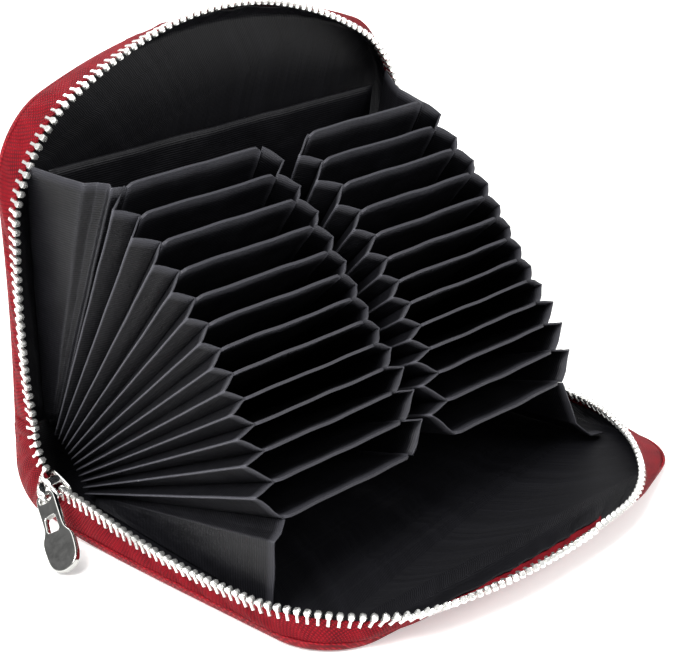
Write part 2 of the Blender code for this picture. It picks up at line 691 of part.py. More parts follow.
def add_accordion(group):
    """Two columns of partitions, their folded sides and the strip below them."""
    bases, angles = partition_bases()
    for number, (base, angle) in enumerate(zip(bases, angles)):
        add_partition(group, number, "left", COLUMN_LEFT_START, base, angle)
        add_partition(group, number, "right", COLUMN_RIGHT_START, base, angle)
    left_end = COLUMN_LEFT_START + PARTITION_WIDTH
    right_end = COLUMN_RIGHT_START + PARTITION_WIDTH
    add_fan_gusset(group, "gusset_left", COLUMN_LEFT_START, -1.0, bases, angles)
    add_fan_gusset(group, "gusset_mid_left", left_end, 1.0, bases, angles)
    add_fan_gusset(group, "gusset_mid_right", COLUMN_RIGHT_START, -1.0, bases, angles)
    add_fan_gusset(group, "gusset_right", right_end, 1.0, bases, angles)
    add_accordion_base(group, bases, angles)
    for side, edge, name in ((-1.0, COLUMN_LEFT_START, "left"), (1.0, right_end, "right")):
        cover_edge = side * (POCKET_INSET - CLEAR)
        add_pocket_gusset(group, "front_pocket_gusset_" + name, edge, cover_edge, bases[-1], angles[-1],
                          front_pocket_line, side)
        add_pocket_gusset(group, "rear_pocket_gusset_" + name, edge, cover_edge, bases[0], angles[0],
                          rear_pocket_line, side)
    add_divider(group)


def main():
    """Build the wallet from an empty scene."""
    for obj in list(bpy.data.objects):
        bpy.data.objects.remove(obj, do_unlink=True)
    group = bpy.data.collections.new("card_holder_wallet")
    tools = bpy.data.collections.new("shaping_tools")
    bpy.context.scene.collection.children.link(group)
    bpy.context.scene.collection.children.link(tools)
    add_covers(group)
    add_spine(group)
    add_accordion(group)
    add_slider(group, tools)
    add_pull(group)


main()
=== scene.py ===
"""A zip-around card holder wallet, lying open on its spine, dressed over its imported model.

Every length in this file is in millimetres until a mesh is made, where it becomes metres.
The wallet lies on its front cover. x runs along the spine, y towards the rear cover and z up.
A cover has its own axes: x along the spine, v from the fold to the far side, and w from the
outer face towards the inside.
"""

import logging
import math
from dataclasses import dataclass, field
from enum import Enum
from typing import Any

import bmesh
import bpy
import numpy as np
from mathutils import Matrix, Vector


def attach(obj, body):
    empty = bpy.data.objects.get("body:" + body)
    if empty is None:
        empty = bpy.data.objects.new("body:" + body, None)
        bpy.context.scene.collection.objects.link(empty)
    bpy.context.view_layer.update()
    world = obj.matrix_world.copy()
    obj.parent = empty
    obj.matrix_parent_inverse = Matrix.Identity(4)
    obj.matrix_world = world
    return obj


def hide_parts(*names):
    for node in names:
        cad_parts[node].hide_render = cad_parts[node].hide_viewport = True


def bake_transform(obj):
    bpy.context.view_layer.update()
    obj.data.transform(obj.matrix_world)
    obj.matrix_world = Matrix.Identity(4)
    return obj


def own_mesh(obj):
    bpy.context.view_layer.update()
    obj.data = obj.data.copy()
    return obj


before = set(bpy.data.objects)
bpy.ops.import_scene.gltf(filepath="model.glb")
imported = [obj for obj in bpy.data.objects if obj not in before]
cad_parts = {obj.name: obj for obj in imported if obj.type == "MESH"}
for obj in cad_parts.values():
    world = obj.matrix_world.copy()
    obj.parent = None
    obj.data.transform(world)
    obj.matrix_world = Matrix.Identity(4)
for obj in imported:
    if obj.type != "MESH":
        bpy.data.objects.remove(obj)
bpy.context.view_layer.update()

LOG = logging.getLogger("wallet")
MM = 0.001
HALF_LENGTH = 70.0
FRONT_FOLD_Y = 50.5
REAR_FACE_Y = 69.34
REAR_FOLD_Z = 18.84

# Thickness of each material.
LEATHER = 1.1
TAPE = 0.55
LINING = 0.4
CLOTH = 0.42

# A wave texture's bands repeat every 0.314 units at scale 1.
WAVE_REPEAT = 0.314


# shapes


def smooth_step(value: np.ndarray) -> np.ndarray:
    """Clamp to 0..1 and ease both ends: 3t^2 - 2t^3."""
    t = np.clip(value, 0.0, 1.0)
    return t * t * (3.0 - 2.0 * t)


def unit(vectors: np.ndarray) -> np.ndarray:
    """Each vector divided by its length."""
    return vectors / np.maximum(np.linalg.norm(vectors, axis=-1, keepdims=True), 1e-9)


def ripple(a: np.ndarray, b: np.ndarray, seed: float) -> np.ndarray:
    """Gentle unevenness of hand-made cloth: three crossed sine waves of unlike lengths."""
    return (np.sin(a * 0.21 + 1.7 * np.sin(b * 0.13 + seed) + seed)
            + 0.6 * np.sin(b * 0.31 + 1.3 * np.sin(a * 0.17 - seed) + 2.1 * seed)
            + 0.4 * np.sin((a + b) * 0.47 + 3.3 * seed)) / 2.0


def around(count: int) -> np.ndarray:
    """Angles of count even steps round a circle."""
    return np.linspace(0, 2 * math.pi, count + 1)[:-1]


def squared(value: np.ndarray, power: float) -> np.ndarray:
    """Sine or cosine pushed towards its ends, for a rounded square: sign * |value|^power."""
    return np.sign(value) * np.abs(value) ** power


def lines_of(table: np.ndarray, place: np.ndarray) -> np.ndarray:
    """Rows of a table at broken row numbers, each column read off by itself."""
    number = np.arange(len(table))
    return np.stack([np.interp(place, number, column) for column in table.T], -1)


def grid_quads(rows: int, cols: int) -> np.ndarray:
    """Corner numbers of the squares of a grid, turned so the normal is row step x column step."""
    index = np.arange(rows * cols).reshape(rows, cols)
    return np.stack([index[:-1, :-1], index[1:, :-1], index[1:, 1:], index[:-1, 1:]], -1).reshape(-1, 4)


def grid_normals(points: np.ndarray) -> np.ndarray:
    """Unit normal at every grid point: row difference x column difference."""
    return unit(np.cross(np.gradient(points, axis=0), np.gradient(points, axis=1)))


def border_of(rows: int, cols: int) -> np.ndarray:
    """Point numbers round the edge of a grid, in the winding of its squares."""
    index = np.arange(rows * cols).reshape(rows, cols)
    return np.concatenate([index[:-1, 0], index[-1, :-1], index[:0:-1, -1], index[0, :0:-1]])


def resample(line: np.ndarray, pitch: float, start: float, end: float) -> tuple[np.ndarray, np.ndarray]:
    """Points at an even pitch along a line.

    Args:
        line: Points of the line, one row each.
        pitch: Step along the line.
        start: Length left out at the beginning.
        end: Length left out at the end.

    Returns:
        The points, and their share of the line's own point numbers.
    """
    run = np.concatenate([[0.0], np.cumsum(np.linalg.norm(np.diff(line, axis=0), axis=1))])
    marks = np.arange(start, run[-1] - end, pitch)
    place = np.interp(marks, run, np.arange(len(line)))
    return np.stack([np.interp(marks, run, column) for column in line.T], -1), place


def curve_through(knots: np.ndarray, count: int, closed: bool = False) -> np.ndarray:
    """A smooth line through given points.

    Between two points the line is the cubic whose slope at each point is half the step between
    that point's neighbours.

    Args:
        knots: Given points, one row each.
        count: Points of the result.
        closed: Join the end to the start.

    Returns:
        The line's points.
    """
    total = len(knots)
    t = np.linspace(0.0, total if closed else total - 1, count, endpoint=not closed)
    leg = np.minimum(t.astype(int), total - 1 if closed else total - 2)
    part = (t - leg)[:, None]
    rows = leg[:, None] + np.arange(-1, 3)[None]
    near = knots[rows % total if closed else np.clip(rows, 0, total - 1)]
    before, start, end, after = near[:, 0], near[:, 1], near[:, 2], near[:, 3]
    return (start + 0.5 * part * (end - before)
            + part ** 2 * (before - 2.5 * start + 2 * end - 0.5 * after)
            + 0.5 * part ** 3 * (after - before + 3 * (start - end)))


# meshes


def add_object(name: str, data: bpy.types.ID) -> bpy.types.Object:
    """Put mesh, light or camera data into the scene as an object."""
    obj = bpy.data.objects.new(name, data)
    bpy.context.scene.collection.objects.link(obj)
    return obj


def stand_in(obj: bpy.types.Object, node: str) -> bpy.types.Object:
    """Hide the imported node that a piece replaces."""
    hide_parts(node)
    return obj


@dataclass
class Sheet:
    """Corner points, faces and surface coordinates of a mesh, in millimetres."""

    points: np.ndarray
    quads: np.ndarray
    plates: list[list[int]] = field(default_factory=list)
    surface: np.ndarray | None = None
    # Share of painted highlight at each point, 0 to 1.
    painted_highlight: np.ndarray | None = None

    def build(self, name: str, finish: bpy.types.Material, sharp: float = 0.0,
              turn_out: bool = True) -> bpy.types.Object:
        """Make the object.

        Args:
            name: Name of the piece.
            finish: Material of the piece.
            sharp: Angle in degrees past which an edge stays crisp, or 0 for none.
            turn_out: Work the normals out again, as a closed shape needs.

        Returns:
            The object, at the origin, with its place in its mesh.
        """
        mesh = bpy.data.meshes.new(name)
        corners = (self.points.reshape(-1, 3) * MM).tolist()
        mesh.from_pydata(corners, [], self.quads.tolist() + self.plates)
        mesh.validate()
        mesh.polygons.foreach_set("use_smooth", np.ones(len(mesh.polygons), dtype=bool))
        if self.surface is not None:
            corner = np.zeros(len(mesh.loops), dtype=np.int32)
            mesh.loops.foreach_get("vertex_index", corner)
            layer = mesh.uv_layers.new(name="cloth")
            spots = (self.surface.reshape(-1, 2) * MM)[corner]
            layer.data.foreach_set("uv", spots.astype(np.float32).ravel())
        # Per-point share of painted highlight, read by the lining's material.
        if self.painted_highlight is not None:
            highlight_share = mesh.attributes.new("painted_highlight", "FLOAT", "POINT")
            highlight_share.data.foreach_set("value", self.painted_highlight.astype(np.float32).ravel())
        if turn_out:
            work = bmesh.new()
            work.from_mesh(mesh)
            bmesh.ops.recalc_face_normals(work, faces=work.faces)
            work.to_mesh(mesh)
            work.free()
        if sharp:
            mesh.set_sharp_from_angle(angle=math.radians(sharp))
        mesh.materials.append(finish)
        return add_object(name, mesh)


def ring_quads(index: np.ndarray) -> np.ndarray:
    """Squares between rings of points, given their numbers as rings x points."""
    side = np.roll(index, -1, axis=1)
    return np.stack([index[:-1], index[1:], side[1:], side[:-1]], -1).reshape(-1, 4)


def shell(points: np.ndarray, thick: float | np.ndarray, surface: np.ndarray,
          painted_highlight: np.ndarray | None = None) -> Sheet:
    """A grid given thickness: both faces half the thickness along the normal, joined all round.

    Args:
        points: Rows x columns x 3 middle surface.
        thick: Thickness, one number or one per grid point.
        surface: Rows x columns x 2 cloth coordinates in millimetres.
        painted_highlight: Share of painted highlight at each point, 0 to 1.

    Returns:
        The closed sheet.
    """
    rows, cols = points.shape[:2]
    half = np.broadcast_to(np.asarray(thick, dtype=float), (rows, cols))[..., None] / 2.0
    normal = grid_normals(points)
    both = np.concatenate([(points + push).reshape(-1, 3) for push in (normal * half, -normal * half)])
    count = rows * cols
    face = grid_quads(rows, cols)
    edge = border_of(rows, cols)
    after = np.roll(edge, -1)
    rim = np.stack([after, edge, edge + count, after + count], -1)
    quads = np.concatenate([face, face[:, ::-1] + count, rim])
    highlight_share = None if painted_highlight is None else np.concatenate([painted_highlight.ravel()] * 2)
    return Sheet(both, quads, surface=np.concatenate([surface.reshape(-1, 2)] * 2), painted_highlight=highlight_share)


def tube(rings: np.ndarray) -> Sheet:
    """A closed profile carried along a path, with flat ends.

    Args:
        rings: Stations x profile points x 3.

    Returns:
        The closed body.
    """
    rows, cols = rings.shape[:2]
    index = np.arange(rows * cols).reshape(rows, cols)
    ends = [index[0].tolist(), index[-1, ::-1].tolist()]
    return Sheet(rings.reshape(-1, 3), ring_quads(index), ends)


def tray(points: np.ndarray, thick: float, surface: np.ndarray) -> Sheet:
    """A turned-up wall with its flat bottom: a grid round three sides, each face closed by a plate.

    Args:
        points: Stations round the tray x points up the wall x 3; column 0 is the flat's edge.
        thick: Thickness of the material.
        surface: Cloth coordinates per grid point.

    Returns:
        The closed sheet.
    """
    body = shell(points, thick, surface)
    rows, cols = points.shape[:2]
    count = rows * cols
    flat = np.arange(rows) * cols
    gone = {(int(a), int(b)) for a, b in zip(flat[:-1], flat[1:])}
    keep = [q for q in body.quads.tolist() if (q[1], q[0]) not in gone or q[2] != q[1] + count]
    body.quads = np.array(keep)
    first, last = int(flat[0]), int(flat[-1])
    body.plates = [flat[::-1].tolist(), (flat + count).tolist(), [first, last, last + count, first + count]]
    return body


def round_rings(line: np.ndarray, radius: float | np.ndarray, count: int) -> np.ndarray:
    """Circles square to a line: centre + radius * (cos a * side + sin a * lift)."""
    along = unit(np.gradient(line, axis=0))
    guess = np.broadcast_to(np.array([0.31, 0.47, 0.83]), along.shape)
    side = unit(np.cross(along, guess))
    lift = np.cross(side, along)
    turn = around(count)[None, :, None]
    size = np.broadcast_to(np.asarray(radius, dtype=float), (len(line),))[:, None, None]
    return line[:, None] + size * (np.cos(turn) * side[:, None] + np.sin(turn) * lift[:, None])


def prism(outline: np.ndarray, low: float, high: float, place: "Place") -> Sheet:
    """A flat outline in a cover's plane given thickness between two heights."""
    return tube(np.stack([place.put(outline[:, 0], outline[:, 1], w) for w in (low, high)]))


# finishes


def linear(code: str) -> tuple[float, float, float, float]:
    """An sRGB hex colour as the linear colour a shader takes."""
    parts = [int(code[k:k + 2], 16) / 255.0 for k in (1, 3, 5)]
    return (*(c / 12.92 if c <= 0.04045 else ((c + 0.055) / 1.055) ** 2.4 for c in parts), 1.0)


def add_node(tree: bpy.types.NodeTree, kind: str, links: dict[str, Any] | None = None,
             values: dict[str, Any] | None = None, **settings: Any) -> bpy.types.Node:
    """Add one node.

    Args:
        tree: Node tree to add to.
        kind: Blender's name of the node type.
        links: Input name or number to the output socket that feeds it.
        values: Input name or number to a constant.
        settings: Properties of the node itself.

    Returns:
        The node.
    """
    node = tree.nodes.new(kind)
    for name, value in settings.items():
        setattr(node, name, value)
    for name, value in (values or {}).items():
        node.inputs[name].default_value = value
    for name, socket in (links or {}).items():
        tree.links.new(socket, node.inputs[name])
    return node


def noise(tree: bpy.types.NodeTree, spot: Any, size: float, detail: float,
          rough: float = 0.5) -> bpy.types.Node:
    """Cloudy noise with patches of about size millimetres."""
    values = {"Scale": 1.0 / (size * MM), "Detail": detail, "Roughness": rough}
    return add_node(tree, "ShaderNodeTexNoise", {"Vector": spot}, values)


def bands(tree: bpy.types.NodeTree, spot: Any, pitch: float, values: dict[str, float], way: str = "X") -> Any:
    """Wave bands that repeat every pitch millimetres along one direction."""
    values = {"Scale": WAVE_REPEAT / (pitch * MM), **values}
    return add_node(tree, "ShaderNodeTexWave", {"Vector": spot}, values, bands_direction=way).outputs["Fac"]


def combine(tree: bpy.types.NodeTree, one: Any, two: Any, how: str) -> Any:
    """Two values put through one sum."""
    return add_node(tree, "ShaderNodeMath", {0: one, 1: two}, operation=how).outputs[0]


def spread(tree: bpy.types.NodeTree, value: Any, values: dict[str, float]) -> Any:
    """A value moved from one range to another."""
    return add_node(tree, "ShaderNodeMapRange", {"Value": value}, values).outputs[0]


def tint(tree: bpy.types.NodeTree, share: Any, dark: str, light: str) -> Any:
    """A colour between two hex colours."""
    ends = {6: linear(dark), 7: linear(light)}
    return add_node(tree, "ShaderNodeMix", {0: share}, ends, data_type="RGBA").outputs[2]


class Axes(Enum):
    """What a pattern follows: the whole object's axes, or the piece's own cloth coordinates."""

    OBJECT = "Object"
    CLOTH = "UV"


class Finish:
    """Shared steps of the finishes."""

    name: str
    axes: Axes

    def start(self) -> tuple[bpy.types.Material, bpy.types.NodeTree, Any]:
        """Open a node material.

        Returns:
            Material, tree and the coordinate socket.
        """
        made = bpy.data.materials.new(self.name)
        made.use_nodes = True
        coords = add_node(made.node_tree, "ShaderNodeTexCoord")
        return made, made.node_tree, coords.outputs[self.axes.value]

    def close(self, made: bpy.types.Material, feeds: dict[str, Any], constants: dict[str, float],
              relief: list[tuple[Any, float, float]]) -> bpy.types.Material:
        """Wire a node material's shader.

        Args:
            made: The material.
            feeds: Shader input to the socket that feeds it.
            constants: Shader input to a constant.
            relief: Bumps from fine to coarse: height socket, strength and depth in millimetres.

        Returns:
            The material.
        """
        tree = made.node_tree
        shader = tree.nodes["Principled BSDF"]
        normal = None
        for height, strength, depth in relief:
            links = {"Height": height} if normal is None else {"Height": height, "Normal": normal}
            values = {"Strength": strength, "Distance": depth * MM}
            normal = add_node(tree, "ShaderNodeBump", links, values).outputs[0]
        for name, socket in {**feeds, "Normal": normal}.items():
            tree.links.new(socket, shader.inputs[name])
        for name, value in constants.items():
            shader.inputs[name].default_value = value
        return made


@dataclass(frozen=True)
class SplitLeather(Finish):
    """Cowhide split, pigment coated and pressed with a fine cross-hatched grain: satin, deep red."""

    name: str = "pigmented_embossed_split_leather"
    axes: Axes = Axes.OBJECT
    light: str = "#93101D"
    dark: str = "#560811"
    grain: float = 0.9
    crease: float = 7.0
    stretch: float = 3.0

    def build(self) -> bpy.types.Material:
        """Hatched grain of two crossed wave sets over soft pores, with slow changes of shade."""
        made, tree, spot = self.start()
        warp = noise(tree, spot, self.stretch, 2.0)
        shift = add_node(tree, "ShaderNodeMix", {6: spot, 7: warp.outputs["Color"]}, {0: 0.0012},
                         data_type="RGBA", blend_type="ADD").outputs[2]
        hatch = []
        for turn in ((0.5, 0.6, 0.8), (-0.6, 0.4, -0.9)):
            turned = add_node(tree, "ShaderNodeMapping", {"Vector": shift}, {"Rotation": turn})
            hatch.append(bands(tree, turned.outputs[0], self.grain, {"Distortion": 1.5, "Detail": 1.0}))
        cross = combine(tree, hatch[0], hatch[1], "MULTIPLY")
        pore = add_node(tree, "ShaderNodeTexVoronoi", {"Vector": shift}, {"Scale": 1.0 / (self.grain * MM)},
                        feature="DISTANCE_TO_EDGE").outputs["Distance"]
        lump = noise(tree, spot, self.crease, 4.0).outputs["Fac"]
        shade = spread(tree, combine(tree, cross, lump, "ADD"), {"From Min": 0.4, "From Max": 1.25})
        feeds = {"Base Color": tint(tree, shade, self.dark, self.light),
                 "Roughness": spread(tree, cross, {"To Min": 0.56, "To Max": 0.44})}
        return self.close(made, feeds, {"Specular IOR Level": 0.14},
                          [(cross, 0.55, 0.16), (pore, 0.35, 0.12), (lump, 0.5, 0.9)])


@dataclass(frozen=True)
class WovenTape(Finish):
    """Dyed polyester zip tape, twill woven: matt red with slanting ribs that catch the light."""

    name: str = "twill_woven_polyester_tape"
    axes: Axes = Axes.CLOTH
    light: str = "#8E0F1C"
    dark: str = "#4E0710"
    rib: float = 0.85
    pick: float = 0.6
    lump: float = 5.0

    def build(self) -> bpy.types.Material:
        """Slanting twill ribs crossed by finer picks; the ribs are drawn coarser than thread to show."""
        made, tree, spot = self.start()
        turn = {"Rotation": (0.0, 0.0, 0.62)}
        turned = add_node(tree, "ShaderNodeMapping", {"Vector": spot}, turn).outputs[0]
        ribs = bands(tree, turned, self.rib, {"Distortion": 0.6, "Detail": 1.0, "Detail Scale": 2.0})
        picks = bands(tree, turned, self.pick, {"Distortion": 0.8}, "Y")
        weave = combine(tree, ribs, picks, "MULTIPLY")
        lump = noise(tree, spot, self.lump, 3.0).outputs["Fac"]
        shade = spread(tree, combine(tree, weave, lump, "ADD"), {"From Min": 0.35, "From Max": 1.3})
        return self.close(made, {"Base Color": tint(tree, shade, self.dark, self.light)},
                          {"Roughness": 0.6, "Specular IOR Level": 0.1},
                          [(weave, 0.8, 0.22), (lump, 0.4, 0.7)])


@dataclass(frozen=True)
class RibbedNylon(Finish):
    """Black nylon, plain woven with a ribbed warp and calendered: dark and satin, with a painted highlight
    along fold ridges and hems.
    """

    name: str = "calendered_ribbed_nylon"
    axes: Axes = Axes.CLOTH
    light: str = "#1C1C20"
    dark: str = "#060608"
    highlight_grey: str = "#4A4A50"
    rib: float = 0.65
    wrinkle: float = 9.0

    def build(self) -> bpy.types.Material:
        """Ribs across the cloth's first direction, broken by a slow crumple; a pale grey painted highlight is
        mixed in by the point attribute set on ridges and hems.
        """
        made, tree, spot = self.start()
        ribs = bands(tree, spot, self.rib, {"Distortion": 0.5, "Detail": 1.0})
        crumple = noise(tree, spot, self.wrinkle, 4.0, 0.6).outputs["Fac"]
        shade = spread(tree, combine(tree, ribs, crumple, "MULTIPLY"), {"From Min": 0.1, "From Max": 0.62})
        cloth = tint(tree, shade, self.dark, self.light)
        # Painted highlight: a pale grey mixed in along fold ridges and hems, standing in for the satin's
        # shine.
        highlight_share = add_node(tree, "ShaderNodeAttribute", attribute_name="painted_highlight").outputs["Fac"]
        pale = add_node(tree, "ShaderNodeMix", {0: highlight_share, 6: cloth}, {7: linear(self.highlight_grey)},
                        data_type="RGBA").outputs[2]
        return self.close(made, {"Base Color": pale}, {"Roughness": 0.46, "Specular IOR Level": 0.16},
                          [(ribs, 0.5, 0.1), (crumple, 0.55, 0.9)])


@dataclass(frozen=True)
class PlatedZinc(Finish):
    """Die-cast zinc, tumbled, nickel plated and polished: bright, cool, faintly wavy."""

    name: str = "polished_nickel_plated_zinc"
    axes: Axes = Axes.OBJECT
    colour: str = "#F0F0EE"
    rough: float = 0.16
    wave: float = 0.05
    rim_colour: str = "#F0F0EE"
    rim_rough: float = 0.14
    metal: float = 1.0
    dent: float = 1.6

    def build(self) -> bpy.types.Material:
        """Metal with small dents from tumbling; a face marked rim has the rim's own colour and gloss."""
        made, tree, spot = self.start()
        dents = noise(tree, spot, self.dent, 3.0).outputs["Fac"]
        gloss = spread(tree, dents, {"To Min": self.rough * 0.6, "To Max": self.rough * 1.5})
        rim = add_node(tree, "ShaderNodeAttribute", attribute_name="rim").outputs["Fac"]
        dull = add_node(tree, "ShaderNodeMix", {0: rim, 2: gloss}, {3: self.rim_rough})
        feeds = {"Roughness": dull.outputs[0], "Base Color": tint(tree, rim, self.colour, self.rim_colour)}
        return self.close(made, feeds, {"Metallic": self.metal}, [(dents, 0.35, self.wave)])


@dataclass(frozen=True)
class GreyBoard(Finish):
    """Stiff grey board pressed from waste paper: matt, flecked with fibres."""

    name: str = "pressed_grey_board"
    axes: Axes = Axes.OBJECT
    light: str = "#8E8A84"
    dark: str = "#6A665F"
    fleck: float = 1.0

    def build(self) -> bpy.types.Material:
        """Noise flecks of about a millimetre."""
        made, tree, spot = self.start()
        fleck = noise(tree, spot, self.fleck, 5.0).outputs["Fac"]
        return self.close(made, {"Base Color": tint(tree, fleck, self.dark, self.light)}, {"Roughness": 0.9},
                          [(fleck, 0.3, 0.1)])


@dataclass(frozen=True)
class Finishes:
    """The wallet's materials, made once."""

    leather: bpy.types.Material
    tape: bpy.types.Material
    lining: bpy.types.Material
    board: bpy.types.Material
    teeth: bpy.types.Material
    bright: bpy.types.Material
    satin: bpy.types.Material

    @classmethod
    def make(cls) -> "Finishes":
        """Build every finish."""
        teeth = PlatedZinc(name="barrel_tumbled_nickel_plated_zinc", colour="#EEEEEB", metal=0.84, rough=0.22)
        satin = PlatedZinc(name="satin_nickel_plated_zinc", colour="#5A5A59", rough=0.36, wave=0.001,
                           rim_colour="#B4B4B1", rim_rough=0.12)
        return cls(SplitLeather().build(), WovenTape().build(), RibbedNylon().build(), GreyBoard().build(),
                   teeth.build(), PlatedZinc().build(), satin.build())


# covers


class Place(Enum):
    """Which cover a shape belongs to."""

    FRONT = "front"
    REAR = "rear"

    @property
    def body(self) -> str:
        """Name of the moving body."""
        return self.value + "_cover"

    def put(self, x: np.ndarray, v: np.ndarray, w: np.ndarray) -> np.ndarray:
        """Cover axes to the wallet's: the front cover lies flat, the rear one stands."""
        x, v, w = np.broadcast_arrays(x, v, w)
        if self is Place.FRONT:
            return np.stack([x, FRONT_FOLD_Y - v, w], -1)
        return np.stack([x, REAR_FACE_Y - w, REAR_FOLD_Z + v], -1)


@dataclass(frozen=True)
class EdgeLine:
    """A way round three sides of a cover: straight sides, round corners, and an arched far side."""

    half: float
    depth: float
    radius: float
    crown: float
    bulge_left: float = 0.0
    bulge_right: float = 0.0
    bulge_place: float = 0.7
    radius_right: float = 0.0
    tilt: float = 0.0
    skew: float = 0.0

    def points(self, t: np.ndarray) -> np.ndarray:
        """Points (x, v) for stations 0..5: left side, corner, far side, corner, right side.

        Each station's fraction runs evenly along its straight or round its quarter turn.
        The far side is lifted by crown * (1 - (x / half)^2), the sides swell by
        bulge * sin(pi * (v / depth)^bulge_place), and the whole is sheared by v * tilt * x / half
        and by skew * v / depth along x. A right radius of 0 means the left one.
        """
        leg = np.minimum(np.floor(t), 4.0)
        part = t - leg
        turn = part * math.pi / 2.0
        left, right = self.radius, self.radius_right or self.radius
        start, end = left - self.half, self.half - right
        near, far = self.depth - left, self.depth - right
        legs = [leg == k for k in range(4)]
        x = np.select(legs, [-self.half + 0 * t, start - left * np.cos(turn),
                             start * (1 - part) + end * part, end + right * np.sin(turn)], self.half)
        v = np.select(legs, [part * near, near + left * np.sin(turn), self.depth + 0 * t,
                             far + right * np.cos(turn)], (1 - part) * far)
        swell = np.where(x < 0, self.bulge_left, self.bulge_right)
        swell = swell * np.sin(math.pi * np.clip(v / self.depth, 0, 1) ** self.bulge_place)
        lift = self.crown * (1 - (x / self.half) ** 2) + v * self.tilt * x / self.half
        across = x + np.sign(x) * swell * (x / self.half) ** 2 + self.skew * v / self.depth
        return np.stack([across, v + lift], -1)


@dataclass(frozen=True)
class ZipLine:
    """Way of the teeth round a cover.

    Attributes:
        plan: Way seen square to the cover.
        near: Height above the outer face at the fold.
        side: Height along the left side.
        far: Height along the far side.
        side_right: Height along the right side.
        fade: Length over which the height at the fold fades out.
    """

    plan: EdgeLine
    near: float
    side: float
    far: float
    side_right: float
    fade: float

    def middle(self, t: np.ndarray) -> np.ndarray:
        """Middle of the teeth as (x, v, w).

        The height starts at near and fades to side by exp(-(v / fade)^2). From v = 48 to 92 it
        eases to far, and from x = -50 to 50 side itself eases from the left one to the right one.
        """
        plan = self.plan.points(t)
        v = plan[:, 1]
        side = self.side + (self.side_right - self.side) * smooth_step(0.5 + plan[:, 0] / 100.0)
        height = (side + (self.near - side) * np.exp(-(v / self.fade) ** 2)
                  + (self.far - side) * smooth_step((v - 48.0) / 44.0))
        return np.concatenate([plan, height[:, None]], 1)


